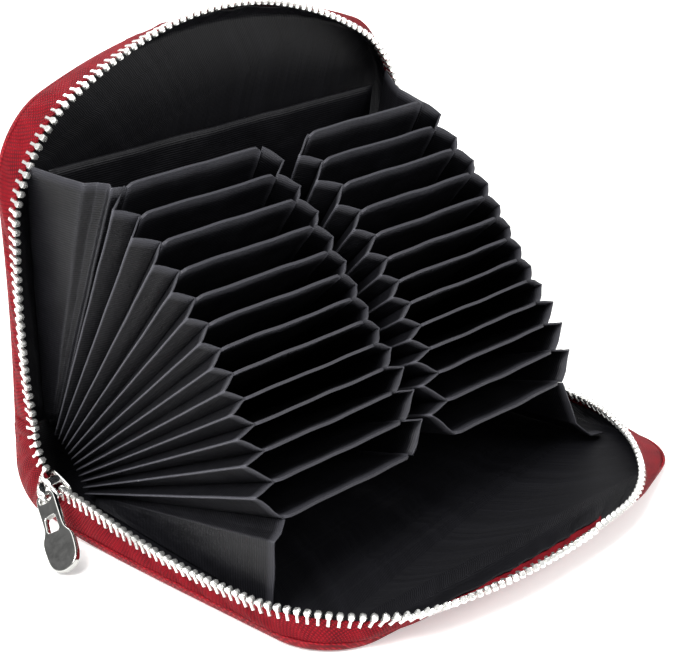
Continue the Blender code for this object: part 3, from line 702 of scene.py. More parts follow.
@dataclass
class Cover:
    """One cover: leather with a turned-up edge, board, lining, zip tape and its row of teeth.

    Attributes:
        place: Which cover it is.
        base: Way of the foot of the wall.
        zip: Way of the teeth.
        slant: Slant of the teeth along the left side.
        bow: Most that the wall bows outwards.
        gap: Lengths without teeth at the left and at the right end.
        seed: Where the wrinkles' waves begin.
        bend: Radius of the leather between bottom and wall.
        edge: Height of the leather's edge.
        wrinkle: Size of the wall's wrinkles.
        bead: Radius of the rolled edge.
        board_inset: Distance from the foot of the wall to the board.
        board_low: Height of the board's outer face.
        board_high: Height of the board's inner face.
        floor: Height of the flat lining.
        floor_bend: Height of the lining's bend between bottom and wall.
        tape_low: Height of the tape's hidden edge.
    """

    place: Place
    base: EdgeLine
    zip: ZipLine
    slant: float
    bow: float
    gap: tuple[float, float]
    seed: float
    bend: float = 1.7
    edge: float = 2.6
    wrinkle: float = 0.3
    bead: float = 0.44
    board_inset: float = 4.2
    board_low: float = 1.5
    board_high: float = 2.3
    floor: float = 2.8
    floor_bend: float = 1.1
    tape_low: float = 1.6

    def stations(self, first: float = 0.06) -> np.ndarray:
        """Stations round the cover, closer together in the corners, from near one fold end to the other."""
        side = np.linspace(first, 1.0, 70)
        corner = np.linspace(1.0, 2.0, 50)[1:]
        far = np.linspace(2.0, 3.0, 90)[1:]
        return np.concatenate([side, corner, far, corner + 2.0, 4.0 + (1 - side[::-1])[1:]])

    def wall(self, t: np.ndarray, w: np.ndarray | float, inset: float | np.ndarray = 0.0) -> np.ndarray:
        """Points on the leaning wall.

        Up to the leather's edge the wall is upright over the base line. Above it, with the share s
        from the edge to the teeth, a point follows the curve (1 - s)^2 * base + 2 * s * (1 - s) * middle
        + s^2 * zip line, whose end runs along the teeth; it bows out by 6.75 * bow * s * (1 - s)^2
        with a few cross wrinkles, and then moves inwards by inset.

        Args:
            t: Stations round the cover.
            w: Heights above the outer face, one row for all stations or one per station.
            inset: Distance inwards.

        Returns:
            Stations x heights x 3 points in the wallet's axes.
        """
        base, head = self.base.points(t), self.zip.middle(t)
        top = head[:, 2:]
        w = np.broadcast_to(np.atleast_1d(w), (len(t), np.shape(np.atleast_1d(w))[-1]))
        share = np.clip((w - self.edge) / (top - self.edge), 0.0, 1.0)
        up = self.lift(t)
        middle = head[:, :2] - up[:, :2] * (0.5 * (top - self.edge) / up[:, 2:])
        s = share[..., None]
        spot = (1 - s) ** 2 * base[:, None] + 2 * s * (1 - s) * middle[:, None] + s ** 2 * head[:, None, :2]
        along = unit(np.gradient(base, axis=0))
        out = np.stack([-along[:, 1], along[:, 0]], -1)[:, None]
        run = np.concatenate([[0], np.cumsum(np.linalg.norm(np.diff(base, axis=0), axis=1))])[:, None]
        long_wave = np.sin(run * 0.55 + 0.5 * w + 2 * np.sin(run * 0.11 + self.seed))
        short_wave = np.sin(run * 1.7 - 0.7 * w + self.seed) * np.sin(run * 0.09 + self.seed) ** 2
        wave = (long_wave + 0.6 * short_wave) * self.wrinkle
        wave = wave * np.sin(math.pi * share) + 6.75 * self.bow * share * (1 - share) ** 2
        spot = spot + out * (wave - inset)[..., None]
        return self.place.put(spot[..., 0], spot[..., 1], w)

    def lift(self, t: np.ndarray) -> np.ndarray:
        """Direction from tape to heads: the wall's slope, eased to 0.3 of it where the wall leans in."""
        middle, base = self.zip.middle(t), self.base.points(t)
        slope = (middle[:, :2] - base) / (middle[:, 2:] - self.edge)
        outward = (slope * np.stack([base[:, 0], base[:, 1] - 30.0], -1)).sum(-1, keepdims=True)
        slope = slope * (0.3 + 0.7 * smooth_step(0.5 + outward / 40.0))
        return unit(np.concatenate([slope, np.ones((len(t), 1))], 1))

    def cloth(self, points: np.ndarray) -> np.ndarray:
        """Cloth coordinates of a wall grid: way round and way up, in millimetres."""
        round_way = np.cumsum(np.linalg.norm(np.diff(points, axis=0, prepend=points[:1]), axis=2), axis=0)
        up = np.cumsum(np.linalg.norm(np.diff(points, axis=1, prepend=points[:, :1]), axis=2), axis=1)
        return np.stack([round_way.mean(axis=1, keepdims=True) + 0 * up, up], -1)

    def chain_line(self) -> tuple[np.ndarray, np.ndarray]:
        """Middle line of the teeth and the direction from tape to heads, in the wallet's axes."""
        t = self.stations(0.0)
        middle, up = self.zip.middle(t), self.lift(t)
        line, tips = (self.place.put(*(spot.T)) for spot in (middle, middle + up))
        return line, tips - line

    def dress(self, finishes: Finishes) -> list[bpy.types.Object]:
        """Build all pieces of the cover.

        Args:
            finishes: Materials.

        Returns:
            The pieces.
        """
        made = [self.make_leather(finishes), self.make_board(finishes), self.make_lining(finishes),
                self.make_tape(finishes), self.make_teeth(finishes), self.make_stop(finishes)]
        for piece in made:
            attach(piece, self.place.body)
        return made

    def make_leather(self, finishes: Finishes) -> bpy.types.Object:
        """Leather: flat bottom, quarter-round bend and short wall as one tray, with its rolled edge."""
        t = self.stations()
        turn = np.linspace(0.0, math.pi / 2, 7)
        low = self.bend * (1 - np.cos(turn)) + LEATHER / 2
        inset = self.bend * (1 - np.sin(turn)) + LEATHER / 2
        w = np.concatenate([low, [low[-1] + 0.15, self.edge]])
        inset = np.concatenate([inset, [inset[-1], inset[-1]]])
        points = self.wall(t, w, inset=inset[None])
        body = tray(points, LEATHER, self.cloth(points))
        name = self.place.value + "_cover_leather"
        obj = body.build(name, finishes.leather)
        bead = self.make_edge_bead(finishes)
        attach(bead, self.place.body)
        return stand_in(obj, name)

    def make_edge_bead(self, finishes: Finishes) -> bpy.types.Object:
        """Rolled leather edge where the tape is sewn in: a round profile carried round the wall."""
        t = self.stations()
        line = self.wall(t, self.edge - 0.1, inset=0.22)[:, 0]
        body = tube(round_rings(line, self.bead, 10))
        obj = body.build(self.place.value + "_edge_bead", finishes.leather)
        return obj

    def make_board(self, finishes: Finishes) -> bpy.types.Object:
        """Board: the base outline drawn in all round, with square edges."""
        t = self.stations(0.1)
        flat = self.wall(t, 0.0, inset=self.board_inset)[:, 0]
        away = FRONT_FOLD_Y - flat[:, 1] if self.place is Place.FRONT else flat[:, 2] - REAR_FOLD_Z
        body = prism(np.stack([flat[:, 0], away], -1), self.board_low, self.board_high, self.place)
        name = self.place.value + "_board"
        return stand_in(body.build(name, finishes.board, sharp=40), name)

    def make_lining(self, finishes: Finishes) -> bpy.types.Object:
        """Lining: flat floor and a wall sewn to the inside of the tape some way below the teeth."""
        t = self.stations(0.05)
        turn = np.linspace(0.0, math.pi / 2, 5)
        low = np.broadcast_to(self.floor + self.floor_bend * (1 - np.cos(turn)), (len(t), 5))
        start = self.floor + self.floor_bend
        rise = np.linspace(0.25, 1.0, 6)[None]
        high = start + (self.zip.middle(t)[:, 2:] - start) * 0.45 * rise
        w = np.concatenate([low, high], axis=1)
        inset = np.concatenate([2.3 + 1.6 * (1 - np.sin(turn)), [2.15, 2.0, 1.8, 1.55, 1.25, 0.95]])
        points = self.wall(t, w, inset=inset[None])
        name = self.place.value + "_lining"
        body = tray(points, LINING, self.cloth(points))
        return stand_in(body.build(name, finishes.lining), name)

    def make_tape(self, finishes: Finishes) -> bpy.types.Object:
        """Tape: the wall from inside the leather's edge up to the middle of the teeth."""
        t = self.stations(0.0)
        top = self.zip.middle(t)[:, 2:]
        w = self.tape_low + (top - self.tape_low) * np.linspace(0.0, 1.0, 12)[None]
        inset = 1.5 * (1 - smooth_step((w - self.edge + 0.35) / 0.9)) + 0.1
        points = self.wall(t, w, inset=inset)
        name = self.place.value + "_zip_tape"
        body = shell(points, TAPE, self.cloth(points))
        return stand_in(body.build(name, finishes.tape), name)

    def make_teeth(self, finishes: Finishes) -> bpy.types.Object:
        """Teeth of half the zip, tiled along the chain line; their slant fades from v = 45 to 77."""
        line, up = self.chain_line()
        name = self.place.value + "_zip_chain"
        plan = self.zip.plan.points(self.stations(0.0))
        slant = np.where(plan[:, 0] < 0, self.slant, 0.0) * (1 - smooth_step((plan[:, 1] - 45.0) / 32.0))
        body = Tooth().row(line, up, self.gap, slant)
        return stand_in(body.build(name, finishes.teeth, sharp=38), name)

    def make_stop(self, finishes: Finishes) -> bpy.types.Object:
        """Top stop after the last tooth on the right: a clip 3 mm long, 2.3 mm thick and 3.5 mm high."""
        line, up = self.chain_line()
        run = resample(line[::-1], 0.5, 1.6, 0.0)[0][:7]
        lift = up[-1]
        along = unit(run[-1] - run[0])
        across = np.cross(along, lift)
        turn = around(12)
        section = np.stack([1.15 * squared(np.cos(turn), 0.6), 1.75 * squared(np.sin(turn), 0.6)], -1)
        grow = np.sin(np.linspace(0.35, math.pi - 0.35, len(run)))[:, None, None] ** 0.4
        rings = run[:, None] + grow * (section[None, :, :1] * across + section[None, :, 1:] * lift)
        name = self.place.value + "_top_stop"
        obj = tube(rings).build(name, finishes.teeth, sharp=50)
        return stand_in(obj, name)


@dataclass(frozen=True)
class Tooth:
    """One die-cast tooth: two legs round the tape's edge and a knobbed head."""

    pitch: float = 2.5
    outline: tuple[tuple[float, float], ...] = (
        (-0.46, -1.5), (0.46, -1.5), (0.4, 0.35), (0.74, 0.7), (0.82, 1.45), (0.45, 1.95),
        (-0.55, 1.95), (-0.92, 1.45), (-0.84, 0.7), (-0.4, 0.35))
    half_thick: float = 0.85

    def row(self, line: np.ndarray, up: np.ndarray, gap: tuple[float, float],
            slant: np.ndarray | None = None) -> Sheet:
        """Tile the tooth along a line.

        The outline lies in the plane of the line and the up direction; four rings across give it
        rounded faces: outline * 0.76 at the outside and the full outline further in. The whole
        outline is slanted by slant * height along the line, and each tooth is turned a little.

        Args:
            line: Middle line of the teeth.
            up: Direction from tape to head at each point.
            gap: Length without teeth at both ends.
            slant: Slant at each point of the line, or none.

        Returns:
            All teeth as one sheet.
        """
        spots, place = resample(line, self.pitch, *gap)
        lift = unit(lines_of(up, place))
        along = unit(np.gradient(spots, axis=0))
        along = unit(along - lift * (along * lift).sum(-1, keepdims=True))
        across = np.cross(along, lift)
        flat = np.array(self.outline)
        head = np.where(flat[:, 1] > 0.7, 1.0, 0.8)
        rings = []
        for size, depth in ((0.76, -1.0), (1.0, -0.6), (1.0, 0.6), (0.76, 1.0)):
            high = flat[:, 1] * (0.93 if size < 1 else 1.0)
            rings.append(np.stack([flat[:, 0] * size, high, depth * self.half_thick * head], -1))
        shape = np.stack(rings)
        sway = np.zeros(len(spots)) if slant is None else np.interp(place, np.arange(len(line)), slant)
        tilt = 0.05 * np.sin(np.arange(len(spots)) * 2.4)[:, None]
        axes = np.stack([along + tilt * across, lift, across - tilt * along], 1)
        points = np.einsum("rpk,nkx->nrpx", shape, axes) + spots[:, None, None]
        points = points + np.einsum("n,rp,nx->nrpx", sway, shape[..., 1], along)
        count, sides = len(spots), len(flat)
        index = np.arange(4 * sides).reshape(4, sides)
        shift = np.arange(count)[:, None, None] * (4 * sides)
        caps = [(cap + s).tolist() for cap in (index[0], index[-1, ::-1]) for s in shift.ravel()]
        return Sheet(points.reshape(-1, 3), (ring_quads(index)[None] + shift).reshape(-1, 4), caps)


# spine


@dataclass
class Spine:
    """The spine: leather and lining round the bend, the tape ends, and the bent end of the zip.

    Attributes:
        front: Front cover.
        rear: Rear cover.
        flat: Flat length between a fold and the bend.
        radius: Radius of the bend's outer face.
        overlap: Length by which the leather and the lining reach over each fold.
        past: Length by which the zip's end reaches past the rear fold.
        cloth_height: Height of the lining above the outer face.
        tape_height: Height of the tape's sewn edge above the outer face.
    """

    front: Cover
    rear: Cover
    flat: float = 6.24
    radius: float = 12.6
    overlap: float = 4.2
    past: float = 7.0
    cloth_height: float = 2.35
    tape_height: float = 2.2

    @property
    def run(self) -> float:
        """Length of the outer line from fold to fold."""
        return 2 * self.flat + self.radius * math.pi / 2

    def line(self, q: np.ndarray, w: np.ndarray | float) -> np.ndarray:
        """Points (y, z) of the spine: flat, quarter turn, flat, moved inwards by w."""
        turn = np.clip((q - self.flat) / self.radius, 0, math.pi / 2)
        inner = self.radius - w
        first = np.minimum(q, self.flat)
        last = np.maximum(q - self.flat - self.radius * math.pi / 2, 0)
        return np.stack([FRONT_FOLD_Y + first + inner * np.sin(turn),
                         w + inner * (1 - np.cos(turn)) + last], -1)

    def rim(self, q: np.ndarray, left: bool) -> np.ndarray:
        """Line of the zip's edge over the spine's end.

        A cubic curve from the front chain's end, level, to the rear chain's start, upright.
        """
        near = self.front.chain_line()[0][0 if left else -1]
        line = self.rear.chain_line()[0]
        middle = len(line) // 2
        end = line[:middle] if left else line[middle:]
        far = end[np.argmin(np.abs(end[:, 2] - 26.0))]
        share = np.clip((q + self.overlap) / (self.run + self.overlap + self.past), 0, 1)[:, None]
        one = near + np.array([0.0, 5.0, 3.2])
        two = far + np.array([0.0, 0.6, -8.5])
        return ((1 - share) ** 3 * near + 3 * (1 - share) ** 2 * share * one
                + 3 * (1 - share) * share ** 2 * two + share ** 3 * far)

    def halves(self, first: float, last: float, steps: int) -> list[tuple[str, np.ndarray]]:
        """Stations of the front half and of the rear half."""
        middle = self.run / 2
        return [("front", np.linspace(first, middle, steps)), ("rear", np.linspace(middle, last, steps))]

    def half(self, q: np.ndarray) -> np.ndarray:
        """Half the spine's length, from the front cover's to the rear cover's."""
        return np.interp(q, [0, self.run], [self.front.base.half, self.rear.base.half])

    def bend(self, obj: bpy.types.Object, which: str) -> None:
        """Bake a half's transform into its mesh; the front and rear halves are treated alike."""
        if which == "front":
            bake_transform(obj)
        else:
            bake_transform(obj)

    def dress(self, finishes: Finishes) -> list[bpy.types.Object]:
        """Build all pieces of the spine."""
        made = []
        for which, q in self.halves(-self.overlap, self.run + self.overlap, 26):
            made.append(self.make_leather(which, q, finishes))
            made.append(self.make_lining(which, q, finishes))
        for left in (True, False):
            for which, q in self.halves(-self.overlap * 0.4, self.run + self.past, 22):
                made.append(self.make_tape_end(which, q, left, finishes))
        made.append(self.make_zip_end(finishes))
        return made

    def make_leather(self, which: str, q: np.ndarray, finishes: Finishes) -> bpy.types.Object:
        """Leather strip with a turned-up edge at its left and right ends."""
        turn = np.linspace(0, math.pi / 2, 6)
        bend = self.front.bend
        half = self.half(q)[:, None]
        edge = np.concatenate([[0.0], bend * np.sin(turn), [bend]])
        rise = np.concatenate([[0.0], bend * (1 - np.cos(turn)), [self.front.edge - 0.55]])
        inward = LEATHER / 2
        right_x = half - inward - bend + edge[None]
        flat_x = np.linspace(-1, 1, 9)[None, 1:-1] * (half - bend - inward)
        x = np.concatenate([-right_x[:, ::-1], flat_x, right_x], 1)
        w = np.concatenate([rise[::-1], np.zeros(7), rise])[None] + inward
        along = np.broadcast_to(q[:, None], x.shape)
        points = np.concatenate([x[..., None], self.line(along, np.broadcast_to(w, x.shape))], -1)
        body = shell(points, LEATHER, np.stack([x, along], -1))
        obj = body.build("spine_leather_" + which, finishes.leather)
        self.bend(obj, which)
        return stand_in(obj, "spine_leather")

    def make_lining(self, which: str, q: np.ndarray, finishes: Finishes) -> bpy.types.Object:
        """Lining strip inside the spine, from one cover's floor to the other's."""
        half = self.front.base.half - 4.0
        x, along = np.broadcast_arrays(np.linspace(-half, half, 15)[None], q[:, None])
        points = np.concatenate([x[..., None], self.line(along, np.full(x.shape, self.cloth_height))], -1)
        body = shell(points, LINING, np.stack([along, x], -1))
        obj = body.build("spine_lining_" + which, finishes.lining)
        self.bend(obj, which)
        return stand_in(obj, "spine_lining")

    def make_tape_end(self, which: str, q: np.ndarray, left: bool, finishes: Finishes) -> bpy.types.Object:
        """Tape round the spine's end: a ruled surface from the leather's edge to the zip's edge."""
        side = -1.0 if left else 1.0
        half = self.half(q) - 0.3
        low = np.concatenate([(side * half)[:, None], self.line(q, self.tape_height)], 1)
        high = self.rim(q, left)
        share = np.linspace(0.0, 1.0, 9)[None, :, None]
        points = low[:, None] * (1 - share) + high[:, None] * share
        swell = np.sin(math.pi * share[..., 0]) * (0.7 + 0.5 * np.sin(q * 0.9)[:, None])
        points[..., 0] += side * swell
        if not left:
            points = points[:, ::-1]
        surface = np.stack(np.broadcast_arrays(q[:, None], share[..., 0] * 10), -1)
        name = "zip_tape_end_" + ("left" if left else "right")
        obj = shell(points, TAPE, surface).build(name + "_" + which, finishes.tape)
        self.bend(obj, which)
        return stand_in(obj, name)

    def make_zip_end(self, finishes: Finishes) -> bpy.types.Object:
        """Teeth of the rear half that bend round the spine's left end and run into the slider."""
        q = np.linspace(0.0, self.run + self.past, 60)
        line = self.rim(q, True)
        low = np.concatenate([np.full((60, 1), -self.front.base.half), self.line(q, self.tape_height)], 1)
        body = Tooth().row(line, unit(line - low), (4.4, 0.1))
        obj = body.build("zip_end_run", finishes.teeth, sharp=38)
        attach(obj, "front_cover")
        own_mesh(obj)
        return stand_in(obj, "zip_end_run")


# accordion

# Mouths of the pockets' sides, as points (share out to the cover's edge, y, z).
MOUTHS = {
    "front_left": ((0.0, -24.4, 25.4), (0.55, -26.8, 24.2), (1.0, -27.5, 23.2), (1.02, -27.4, 20.5),
                   (1.0, -27.2, 14.0), (1.0, -26.8, 8.0), (1.0, -26.4, 4.2)),
    "front_right": ((0.0, -24.4, 25.4), (0.08, -25.6, 20.0), (0.25, -26.6, 12.0), (0.65, -26.8, 5.8),
                    (1.0, -26.4, 4.2)),
    "rear_left": ((0.0, 28.6, 95.6), (0.5, 27.2, 96.6), (0.85, 27.4, 96.8), (0.45, 31.5, 96.4),
                  (0.55, 35.2, 96.0), (0.97, 37.3, 96.0), (1.0, 44.0, 96.0), (1.0, 52.0, 96.0),
                  (1.0, 60.5, 96.0)),
    "rear_right": ((0.0, 28.6, 95.6), (0.1, 34.0, 95.8), (0.3, 43.0, 96.0), (0.65, 52.0, 96.0),
                   (1.0, 60.5, 96.0)),
}

# The same sides' line near the spine, from the accordion to the cover, as points (y, z).
ROOTS = {Place.FRONT: ((52.0, 3.9), (48.0, 3.6)), Place.REAR: ((63.4, 19.5), (65.8, 20.5))}


@dataclass
class Column:
    """Where one column of slots stands."""

    name: str
    left: float
    right: float


@dataclass
class Accordion:
    """Thirteen fabric partitions in two columns with folded sides, and the pockets' sides.

    Attributes:
        angles: Slope of each partition from level in degrees, from the rear to the front one.
        front_hinge: Hinge of the front partition, as (y, z).
        pitch: Distance between two hinges.
        root: Distance from a hinge to its partition's lower edge.
        reach: Distance from a hinge to its partition's mouth.
        reach_more: What is added to the reach of the first partitions.
        ridge_base: Depth of a folded side at the spine.
        ridge_mouth: Depth of each folded side at the mouth.
        ridge_lift: How far each ridge is lifted at the mouth.
        columns: The two columns of slots.
    """

    angles: tuple[float, ...] = (66.4, 62.3, 57.1, 52.2, 47.9, 44.1, 40.4, 36.8, 33.2, 29.6, 25.9, 21.4, 15.9)
    front_hinge: tuple[float, float] = (52.569, 3.799)
    pitch: float = 1.476
    root: float = 3.2
    reach: float = 80.0
    reach_more: tuple[float, ...] = (6.6, 3.4, 2.8, 2.0, 1.2, 0.5)
    ridge_base: float = 2.5
    ridge_mouth: tuple[float, ...] = (5.6, 5.4, 5.0, 4.6, 4.2, 3.8, 3.8, 3.9, 4.8, 6.2, 6.7, 6.7)
    ridge_lift: tuple[float, ...] = (0.0, 0.0, 0.0, 0.0, 0.0, 0.0, 0.0, 0.3, 1.0, 1.8, 2.6, 3.0)
    columns: tuple[Column, ...] = (Column("left", -59.5, -14.5), Column("right", 2.7, 47.7))

    def hinges(self) -> tuple[np.ndarray, np.ndarray]:
        """Hinge points (y, z) and angles from the rear partition to the front one.

        Each hinge stands one pitch from the next, square to the middle of the two angles.
        """
        turn = np.radians(np.array(self.angles))
        middle = (turn[1:] + turn[:-1]) / 2
        steps = self.pitch * np.stack([np.sin(middle), np.cos(middle)], -1)
        tail = np.concatenate([np.zeros((1, 2)), np.cumsum(steps[::-1], axis=0)])[::-1]
        return np.array(self.front_hinge) + tail, turn

    def plane(self, k: int, x: np.ndarray, r: np.ndarray, off: np.ndarray | float = 0.0) -> np.ndarray:
        """Points of partition k: r out from its hinge, off along its upper normal."""
        hinge, turn = self.hinges()
        out = np.array([-math.cos(turn[k]), math.sin(turn[k])])
        up = np.array([math.sin(turn[k]), math.cos(turn[k])])
        yz = hinge[k] + r[..., None] * out + np.asarray(off)[..., None] * up
        return np.concatenate([np.broadcast_to(x, r.shape)[..., None], yz], -1)

    def reach_of(self, k: int) -> float:
        """Length of partition k from hinge to mouth; the rear ones are longer."""
        return self.reach + (self.reach_more[k] if k < len(self.reach_more) else 0.0)

    def dress(self, finishes: Finishes) -> list[bpy.types.Object]:
        """Build every partition, folded side and pocket side."""
        made = []
        for k in range(len(self.angles)):
            for column in self.columns:
                made.append(self.make_partition(k, column, finishes))
        for name, edge, side in (("gusset_left", -59.75, -1.0), ("gusset_mid_left", -14.25, 1.0),
                                 ("gusset_mid_right", 2.45, -1.0), ("gusset_right", 47.95, 1.0)):
            for k in range(len(self.angles) - 1):
                made.append(self.make_fold(k, name, edge, side, finishes))
        for side in (-1.0, 1.0):
            made.append(self.make_pocket_side(Place.REAR, side, finishes))
            made.append(self.make_pocket_side(Place.FRONT, side, finishes))
        made.append(self.make_floor(finishes))
        return made

    def make_partition(self, k: int, column: Column, finishes: Finishes) -> bpy.types.Object:
        """One partition: a slightly uneven plate with clipped corners and a hem along its mouth.

        The plate departs from its plane by up to 0.3 mm of ripple, and the hem is 0.75 mm thick
        against 0.45 mm elsewhere.
        """
        across = np.linspace(0.0, 1.0, 25)
        out = np.concatenate([np.linspace(0.0, 0.9, 22), [0.915, 0.93, 0.96, 0.985, 1.0]])
        grid_x, grid_r = np.meshgrid(across, out, indexing="ij")
        clip = 1.6 * np.clip((np.abs(grid_x - 0.5) - 0.44) / 0.06, 0, 1) ** 2
        x = column.left + (column.right - column.left) * grid_x
        r = self.root + (self.reach_of(k) - self.root) * grid_r - clip * grid_r ** 8
        off = 0.28 * ripple(x, r, k * 1.3 + column.left) * smooth_step(grid_r * 1.5)
        off = off * np.sin(math.pi * grid_x) ** 0.5
        points = self.plane(k, x, r, off)
        thick = np.where(grid_r > 0.92, 0.75, 0.45)
        name = "partition_%02d_%s" % (k + 1, column.name)
        # Painted highlight: paler along the hem at the mouth and along both side edges.
        sides = smooth_step((np.abs(grid_x - 0.5) - 0.485) / 0.01)
        painted_highlight = 0.5 * smooth_step((grid_r - 0.97) / 0.02) + 0.35 * sides
        body = shell(points, thick, np.stack([r, x], -1), painted_highlight)
        obj = body.build(name, finishes.lining, sharp=50)
        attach(obj, "partition_%02d" % (k + 1))
        return stand_in(obj, name)

    def make_fold(self, k: int, name: str, edge: float, side: float, finishes: Finishes) -> bpy.types.Object:
        """One V of a folded side, between partition k and the next.

        Across the V the share s runs 0..1; the cloth goes out by depth * (1 - |2s - 1|), each flank
        bellies a little, and the depth grows from base to mouth.
        """
        half = np.array([0.0, 0.06, 0.16, 0.28, 0.4, 0.46, 0.485])
        share = np.concatenate([half, [0.5], np.round(1.0 - half[::-1], 3)])
        out = np.linspace(0.0, 1.0, 26)
        s, o = np.meshgrid(share, out, indexing="ij")
        r = 2.6 + (self.reach_of(k) * (1 - s) + self.reach_of(k + 1) * s - 3.0) * o
        depth = self.ridge_base + (self.ridge_mouth[k] - self.ridge_base) * o
        peak = 1 - np.abs(2 * s - 1)
        belly = 0.035 * np.sin(2 * math.pi * peak) * (1 + 0.6 * np.sin(k * 2.1 + edge)) * o
        x = edge + side * depth * (peak + belly)
        x = x + side * 0.16 * ripple(r * 1.4, s * 20 + k * 7, k * 0.9 + edge) * np.sin(math.pi * s) * o
        r = r - 1.4 * peak ** 2 * o ** 6
        near, far = self.plane(k, x, r), self.plane(k + 1, x, r)
        points = near * (1 - s[..., None]) + far * s[..., None]
        points[..., 0] = x
        points[..., 2] += self.ridge_lift[k] * peak * o
        # Painted highlight: a thin pale line along the ridge, and paler along the mouth.
        painted_highlight = np.exp(-((s - 0.5) / 0.018) ** 2) + 0.5 * smooth_step((o - 0.975) / 0.02)
        if side > 0:
            points = points[::-1]
        surface = np.stack([r, np.broadcast_to(s, r.shape) * 12.0], -1)
        body = shell(points, CLOTH, surface, np.minimum(painted_highlight, 1.0))
        obj = body.build("%s_fold_%02d" % (name, k + 1), finishes.lining)
        self.follow(obj, k)
        return stand_in(obj, name)

    def follow(self, obj: bpy.types.Object, k: int) -> None:
        """Tie the fold between partitions 6 and 7 to partition_07's body with a mesh of its own; bake every
        other fold's transform into its mesh.
        """
        hinge, turn = self.hinges()
        if k == 5:
            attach(obj, "partition_07")
            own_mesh(obj)
        else:
            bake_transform(obj)

    def make_pocket_side(self, place: Place, side: float, finishes: Finishes) -> bpy.types.Object:
        """Side of a pocket: zigzag cloth from the outermost partition's edge to the cover's edge.

        The mouth is folded out at the left and drawn in at the right; each thread of the cloth
        runs straight from the line near the spine to its point of the mouth.
        """
        front = place is Place.FRONT
        which = place.value + ("_left" if side < 0 else "_right")
        edge = -59.7 if side < 0 else 47.95
        cover_edge = side * 66.3
        mouth, root = np.array(MOUTHS[which]), np.array(ROOTS[place])
        line = lines_of(mouth, np.linspace(0, len(mouth) - 1, 61))
        out = np.linspace(0.03, 1.0, 28)
        s, o = np.meshgrid(np.linspace(0.0, 1.0, 61), out, indexing="ij")
        start = root[0] * (1 - s[..., None]) + root[1] * s[..., None]
        yz = start * (1 - o[..., None]) + line[:, None, 1:] * o[..., None]
        x = edge + (cover_edge - edge) * (line[:, :1] * (0.4 + 0.6 * o) + (s - line[:, :1]) * 0.6 * (1 - o))
        points = np.concatenate([x[..., None], yz], -1)
        r = 77.0 * o
        points[..., 0] += side * 0.3 * ripple(r, s * 30, 4.0 + side) * np.sin(math.pi * s) * o
        # Painted highlight: paler where the mouth line bends and along the mouth.
        crease = np.abs(np.gradient(np.gradient(line[:, 0])))
        painted_highlight = np.clip(crease * 6.0, 0, 0.7)[:, None] + 0.5 * smooth_step((o - 0.975) / 0.02)
        if (side > 0) != front:
            points, painted_highlight = points[::-1], painted_highlight[::-1]
        surface = np.stack([r, s * 30.0], -1)
        name = "%s_pocket_gusset_%s" % (place.value, "left" if side < 0 else "right")
        body = shell(points, CLOTH, surface, np.minimum(painted_highlight, 1.0))
        obj = body.build(name, finishes.lining)
        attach(obj, place.body)
        if front:
            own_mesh(obj)
        else:
            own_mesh(obj)
        return stand_in(obj, name)

    def make_floor(self, finishes: Finishes) -> bpy.types.Object:
        """Strip under the partitions, pleated a little between their hinges."""
        hinge, turn = self.hinges()
        dense = np.linspace(0, len(turn) - 1, 73)
        spot = lines_of(hinge, dense)
        angle = np.interp(dense, np.arange(len(turn)), turn)
        out = np.stack([-np.cos(angle), np.sin(angle)], -1)
        dip = 0.25 * np.abs(np.sin(dense * math.pi))
        line = spot + out * (2.5 - dip)[:, None]
        x = np.linspace(self.columns[0].left, self.columns[1].right, 24)
        points = np.stack(np.broadcast_arrays(x[None], line[:, :1], line[:, 1:]), -1)
        surface = np.stack(np.broadcast_arrays(dense[:, None] * 1.5, x[None]), -1)
        obj = shell(points, LINING, surface).build("accordion_base", finishes.lining)
        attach(obj, "spine")
        return stand_in(obj, "accordion_base")


@dataclass
class Divider:
    """Cloth between the two banknote pockets.

    Attributes:
        angle: Slope from level in degrees.
        hinge: Its hinge beside the rear fold, as (y, z).
        reach: Distance from the hinge to the mouth.
        left: Left edge.
        right: Right edge.
    """

    angle: float = 83.5
    hinge: tuple[float, float] = (65.31, 18.84)
    reach: float = 75.95
    left: float = -61.9
    right: float = 56.1

    def dress(self, finishes: Finishes) -> list[bpy.types.Object]:
        """One hemmed sheet with a slow wave, 0.45 mm thick and 0.8 mm at the hem."""
        across, out = np.meshgrid(np.linspace(0, 1, 41), np.linspace(0.02, 1, 30), indexing="ij")
        x = self.left + (self.right - self.left) * across
        r = self.reach * out
        turn = math.radians(self.angle)
        off = 0.5 * ripple(x, r, 5.1) * out * np.sin(math.pi * across)
        y = self.hinge[0] - r * math.cos(turn) + off * math.sin(turn)
        z = self.hinge[1] + r * math.sin(turn) + off * math.cos(turn)
        thick = np.where(out > 0.93, 0.8, 0.45)
        body = shell(np.stack([x, y, z], -1), thick, np.stack([r, x], -1))
        obj = body.build("cash_divider", finishes.lining)
        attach(obj, "divider")
        return [stand_in(obj, "cash_divider")]


# slider and pull


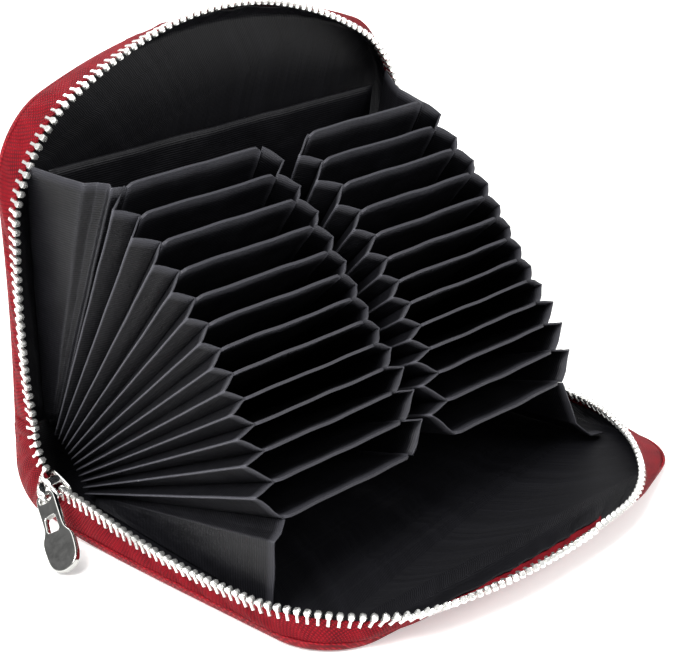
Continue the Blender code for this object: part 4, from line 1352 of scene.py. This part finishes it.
@dataclass
class Slider:
    """The zip's slider: two shaped plates on a post, with turned edges and an arched bridge.

    Attributes:
        nose: Middle of the slider's front end.
        across: Direction across the slider, as (y, z).
        up: Direction towards the nose, as (y, z).
        length: Length of a plate.
        gap: Distance between the plates.
        plate: Thickness of a plate.
        bridge: Points of the bridge's middle line.
    """

    nose: tuple[float, float, float] = (-71.12, 50.65, 12.2)
    across: tuple[float, float] = (-0.94, -0.342)
    up: tuple[float, float] = (-0.342, 0.94)
    length: float = 7.6
    gap: float = 2.6
    plate: float = 1.2
    bridge: tuple[tuple[float, float, float], ...] = (
        (-72.6, 51.4, 10.6), (-74.6, 50.6, 12.6), (-77.0, 48.4, 14.0), (-78.9, 46.1, 14.1),
        (-79.7, 44.7, 13.2), (-79.0, 44.5, 12.0), (-77.2, 46.0, 9.9), (-75.0, 48.4, 8.0),
        (-72.6, 50.6, 7.2))

    def dress(self, finishes: Finishes) -> list[bpy.types.Object]:
        """Build the slider's plates, post, turned edges and bridge as one object."""
        faces = ((1.0, 0.0), (-1.0, -0.7))
        parts = [self.make_plate(face, drop) for face, drop in faces] + [self.make_post(), self.make_bridge()]
        parts += [self.make_bar(face, drop) for face, drop in faces]
        parts += [self.make_edge(face, side) for face in (1.0, -1.0) for side in (1.0, -1.0)]
        before = np.cumsum([0] + [len(part.points) for part in parts])
        points = np.concatenate([part.points for part in parts])
        quads = np.concatenate([part.quads + count for part, count in zip(parts, before)])
        plates = [[i + int(count) for i in p] for part, count in zip(parts, before) for p in part.plates]
        obj = Sheet(points, quads, plates).build("slider_body", finishes.bright, sharp=45)
        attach(obj, "slider")
        return [stand_in(obj, "slider_body")]

    def put(self, deep: np.ndarray, wide: np.ndarray, high: np.ndarray) -> np.ndarray:
        """Slider axes to the wallet's: deep out of the inner plate, wide across, high towards the nose."""
        deep, wide, high = np.broadcast_arrays(deep, wide, high)
        y = self.nose[1] + wide * self.across[0] + high * self.up[0]
        z = self.nose[2] + wide * self.across[1] + high * self.up[1]
        return np.stack([self.nose[0] + deep, y, z], -1)

    def half(self, high: np.ndarray) -> np.ndarray:
        """Half width: 4.3 mm at the nose, drawn in to 2.4 mm from the middle to the tail."""
        return 4.3 - 1.9 * smooth_step((-high - 0.6) / 4.6)

    def make_plate(self, face: float, drop: float) -> Sheet:
        """One plate: its outline stacked in six rings, drawn in towards both faces."""
        high = np.linspace(0.0, -self.length, 22)
        tail = np.sqrt(np.clip(1 - np.clip((-high - self.length + 1.6) / 1.6, 0, 1) ** 2, 0, 1))
        half = self.half(high) * np.maximum(tail, 0.25)
        across = np.linspace(-1, 1, 9)[1:-1]
        hump = 0.35 * (1 - across ** 2)
        wide = np.concatenate([half, -half[::-1], across * half[0]])
        tall = np.concatenate([high, high[::-1], hump]) + drop
        centre = -self.length / 2
        rings = []
        for size, depth in ((0.93, 0.0), (1.0, 0.18), (1.0, 0.62), (0.96, 0.9), (0.88, 1.1), (0.76, 1.2)):
            rings.append(self.put(face * (self.gap / 2 + depth * self.plate / 1.2), wide * size,
                                  centre + (tall - centre) * size))
        return tube(np.stack(rings))

    def make_bar(self, face: float, drop: float) -> Sheet:
        """Rolled lip along the nose of a plate."""
        wide = np.linspace(-4.1, 4.1, 19)
        high = drop + 0.1 + 0.35 * (1 - (wide / 4.3) ** 2)
        size = 0.46 * np.sqrt(np.clip(1.06 - (wide / 4.1) ** 6, 0.05, 1))
        return tube(round_rings(self.put(face * (self.gap / 2 + self.plate * 0.5), wide, high), size, 10))

    def make_edge(self, face: float, side: float) -> Sheet:
        """Turned-in edge along one side of one plate: a small rounded bar."""
        high = np.linspace(-0.6, -self.length + 1.2, 16)
        line = self.put(face * (self.gap / 2 - 0.1), side * (self.half(high) - 0.35), high)
        return tube(round_rings(line, 0.4, 8))

    def make_post(self) -> Sheet:
        """The wedge that parts the two rows of teeth: an ellipse carried from plate to plate."""
        turn = around(18)
        deep = np.array([-self.gap / 2 - 0.5, 0.0, self.gap / 2 + 0.5])[:, None]
        return tube(self.put(deep, -0.9 + 1.4 * np.cos(turn)[None], -0.4 + 1.1 * np.sin(turn)[None]))

    def make_bridge(self) -> Sheet:
        """Arched loop that holds the pull: a flat rounded band, broad at its feet, along a smooth line."""
        line = curve_through(np.array(self.bridge), 49)
        along = unit(np.gradient(line, axis=0))
        wide = np.array([0.0, *self.across])
        wide = unit(wide - along * (along @ wide)[:, None])
        deep = np.cross(along, wide)
        ring = around(14)[None, :, None]
        breadth = (1.15 + 0.5 * np.abs(np.linspace(-1, 1, 49)) ** 2)[:, None, None]
        flat = squared(np.cos(ring), 0.7)
        return tube(line[:, None] + breadth * flat * wide[:, None] + 0.55 * np.sin(ring) * deep[:, None])


@dataclass
class Pull:
    """The pull tab: a flat paddle on a narrow neck, with an eye and a tapered window.

    Attributes:
        hinge: Where the tab swings.
        along: Direction down the tab.
        face: Direction that the tab faces, made square to along.
        thick: Thickness of the tab.
        rim: Radius of its rounded rim.
        outline: Points round the tab, as (down the tab, across it) from the hinge.
        window: Corners of the window in the same way.
    """

    hinge: tuple[float, float, float] = (-77.61, 44.86, 13.5)
    along: tuple[float, float, float] = (-0.35, -0.83, -0.45)
    face: tuple[float, float, float] = (-0.72, -0.04, 0.69)
    thick: float = 1.8
    rim: float = 0.36
    outline: tuple[tuple[float, float], ...] = (
        (-0.7, -1.05), (-0.4, -2.6), (0.6, -3.6), (2.4, -3.9), (6.0, -3.9), (10.0, -4.0),
        (11.6, -4.5), (12.6, -5.1), (14.2, -5.5), (17.5, -5.5), (20.2, -5.2), (22.4, -4.1),
        (23.6, -2.0), (23.5, 0.5), (22.3, 2.2), (20.0, 3.1), (16.5, 3.4), (14.2, 3.2),
        (12.6, 2.4), (11.0, 1.9), (7.5, 1.8), (2.4, 1.8), (0.6, 1.5), (-0.4, 0.5))
    window: tuple[tuple[float, float], ...] = ((7.0, -2.7), (7.0, 0.2), (12.1, 0.3), (11.4, -3.1))

    def axes(self) -> tuple[np.ndarray, np.ndarray, np.ndarray]:
        """Directions down the tab, across it and out of its face."""
        down = unit(np.array(self.along))
        out = np.array(self.face)
        out = unit(out - down * (out @ down))
        return down, np.cross(out, down), out

    def dress(self, finishes: Finishes) -> list[bpy.types.Object]:
        """Build the tab: a flat plate cut by its eye and window, with a rounded rim marked as such."""
        mesh = self.make_plate()
        mesh.set_sharp_from_angle(angle=math.radians(40))
        normals = np.zeros(len(mesh.polygons) * 3, dtype=np.float32)
        mesh.polygons.foreach_get("normal", normals)
        slope = 1 - np.abs(normals.reshape(-1, 3) @ self.axes()[2])
        marks = mesh.attributes.new("rim", "FLOAT", "FACE")
        marks.data.foreach_set("value", np.clip(slope * 40.0, 0, 1).astype(np.float32))
        mesh.polygons.foreach_set("use_smooth", slope > 0.001)
        mesh.materials.clear()
        mesh.materials.append(finishes.satin)
        obj = add_object("pull_tab_visual", mesh)
        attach(obj, "pull")
        return [stand_in(obj, "pull_tab")]

    def loops(self) -> list[tuple[np.ndarray, float]]:
        """The outline, the eye and the window, each with how far the rim grows it."""
        outer = curve_through(np.array(self.outline), 144, closed=True)
        turn = around(28)
        down, across = squared(np.cos(turn), 0.7), squared(np.sin(turn), 0.7)
        eye = np.stack([1.7 + 0.95 * down, -1.05 + 1.75 * across], -1)
        corners = np.array(self.window)
        edges = [np.linspace(corners[i], corners[(i + 1) % 4], 9)[1:-1] for i in range(4)]
        return [(outer, -self.rim), (eye, self.rim), (np.concatenate(edges), self.rim)]

    def make_plate(self) -> bpy.types.Mesh:
        """The tab's mesh, from a filled and bevelled curve of its loops."""
        curves = bpy.data.curves.new("pull_outline", "CURVE")
        curves.dimensions = "2D"
        curves.fill_mode = "BOTH"
        curves.extrude = (self.thick / 2 - self.rim) * MM
        curves.bevel_depth = self.rim * MM
        curves.bevel_resolution = 4
        for loop, grow in self.loops():
            centre = loop.mean(axis=0)
            step = unit(np.roll(loop, -1, axis=0) - np.roll(loop, 1, axis=0))
            normal = np.stack([step[:, 1], -step[:, 0]], -1)
            normal = normal * np.sign(((loop - centre) * normal).sum(-1, keepdims=True))
            path = np.zeros((len(loop), 4))
            path[:, :2] = (loop + normal * grow) * MM
            path[:, 3] = 1.0
            spline = curves.splines.new("POLY")
            spline.points.add(len(path) - 1)
            spline.points.foreach_set("co", path.ravel())
            spline.use_cyclic_u = True
        maker = add_object("pull_maker", curves)
        bpy.context.view_layer.update()
        evaluated = maker.evaluated_get(bpy.context.evaluated_depsgraph_get())
        mesh = bpy.data.meshes.new_from_object(evaluated)
        bpy.data.objects.remove(maker)
        work = bmesh.new()
        work.from_mesh(mesh)
        bmesh.ops.remove_doubles(work, verts=work.verts, dist=0.01 * MM)
        bmesh.ops.recalc_face_normals(work, faces=work.faces)
        work.to_mesh(mesh)
        work.free()
        turn_to = Matrix(self.axes()).transposed().to_4x4()
        mesh.transform(Matrix.Translation(Vector(self.hinge) * MM) @ turn_to)
        mesh.name = "pull_tab"
        return mesh


# studio


@dataclass
class Studio:
    """Pale floor, soft lights and the camera at the picture's angle."""

    place: tuple[float, float, float] = (-0.29835, -0.27421, 0.21856)
    right: tuple[float, float, float] = (0.69636, -0.71769, -0.00132)
    down: tuple[float, float, float] = (-0.27769, -0.26774, -0.92261)
    ahead: tuple[float, float, float] = (0.66180, 0.64283, -0.38573)
    focal: float = 1668.45
    width: float = 679.0

    def build(self) -> None:
        """Make the floor, the lights, the world and the camera."""
        self.make_camera()
        self.make_floor()
        self.make_light("key", (-0.75, -0.1, 0.9), 0.45, 14.0)
        self.make_light("fill", (0.5, -0.9, 0.7), 0.6, 7.0)
        self.make_light("back", (0.2, 0.9, 0.9), 0.6, 7.0)
        sky = bpy.data.lights.new("sky", "SUN")
        sky.energy = 1.35
        sky.angle = 0.9
        lamp = add_object("sky", sky)
        lamp.rotation_euler = (math.radians(-14.0), math.radians(-16.0), 0.0)
        world = bpy.data.worlds.new("studio")
        world.use_nodes = True
        sky_colour = world.node_tree.nodes["Background"].inputs
        sky_colour["Color"].default_value = linear("#FFFFFF")
        sky_colour["Strength"].default_value = 0.6
        bpy.context.scene.world = world
        bpy.context.scene.view_settings.view_transform = "Standard"

    def make_camera(self) -> None:
        """Camera from its place and its three directions."""
        data = bpy.data.cameras.new("camera")
        data.sensor_width = 36.0
        data.lens = 36.0 * self.focal / self.width
        data.clip_start, data.clip_end = 0.01, 10.0
        camera = add_object("camera", data)
        axes = Matrix((self.right, -Vector(self.down), -Vector(self.ahead)))
        camera.matrix_world = Matrix.Translation(Vector(self.place)) @ axes.transposed().to_4x4()
        bpy.context.scene.camera = camera

    def make_floor(self) -> None:
        """A wide pale sheet of paper under the wallet that glows a little, like a light table."""
        x, y = np.meshgrid(np.linspace(-3000, 3000, 5), np.linspace(-3000, 3000, 5), indexing="ij")
        z = np.full(x.shape, -0.05)
        paper = bpy.data.materials.new("matt_white_paper")
        paper.use_nodes = True
        inputs = paper.node_tree.nodes["Principled BSDF"].inputs
        inputs["Base Color"].default_value = linear("#F4F4F2")
        inputs["Roughness"].default_value = 0.9
        inputs["Emission Color"].default_value = linear("#FFFFFF")
        inputs["Emission Strength"].default_value = 0.35
        floor = Sheet(np.stack([x, y, z], -1), grid_quads(5, 5)).build("floor", paper, turn_out=False)

    def make_light(self, name: str, place: tuple[float, float, float], size: float, power: float) -> None:
        """A square soft light that faces the wallet's middle."""
        data = bpy.data.lights.new(name, "AREA")
        data.energy = power
        data.size = size
        lamp = add_object(name, data)
        aim = Vector((0.0, 0.0, 0.04)) - Vector(place)
        lamp.location = place
        lamp.rotation_euler = aim.to_track_quat("-Z", "Y").to_euler()


def main() -> None:
    """Build the wallet and its studio."""
    logging.basicConfig(level=logging.INFO, format="%(name)s: %(message)s")
    finishes = Finishes.make()
    base = EdgeLine(72.5, 99.2, 16.0, 3.0, 1.8, 0.2, 0.5, skew=2.6)
    teeth = EdgeLine(71.1, 101.5, 28.0, 12.0, 0.0, 3.6, 0.75, 44.0)
    front = Cover(Place.FRONT, base, ZipLine(teeth, near=9.8, side=6.2, far=8.3, side_right=8.0, fade=26.0),
                  slant=-0.34, bow=0.25, gap=(3.0, 5.5), seed=0.7)
    base = EdgeLine(71.0, 86.8, 15.5, 17.2, -1.3, 0.6, 1.0, 12.0, tilt=0.02)
    teeth = EdgeLine(71.1, 80.0, 18.0, 27.1, 0.4, 3.1, 0.75)
    rear = Cover(Place.REAR, base, ZipLine(teeth, near=10.5, side=8.6, far=10.8, side_right=8.6, fade=16.2),
                 slant=0.0, bow=0.4, gap=(8.6, 5.5), seed=2.9)
    parts = {"front cover": front, "rear cover": rear, "spine": Spine(front, rear), "accordion": Accordion(),
             "divider": Divider(), "slider": Slider(), "pull": Pull()}
    for label, part in parts.items():
        for piece in part.dress(finishes):
            LOG.info("%s: %s, %d faces", label, piece.name, len(piece.data.polygons))
    Studio().build()


if __name__ == "__main__":
    main()
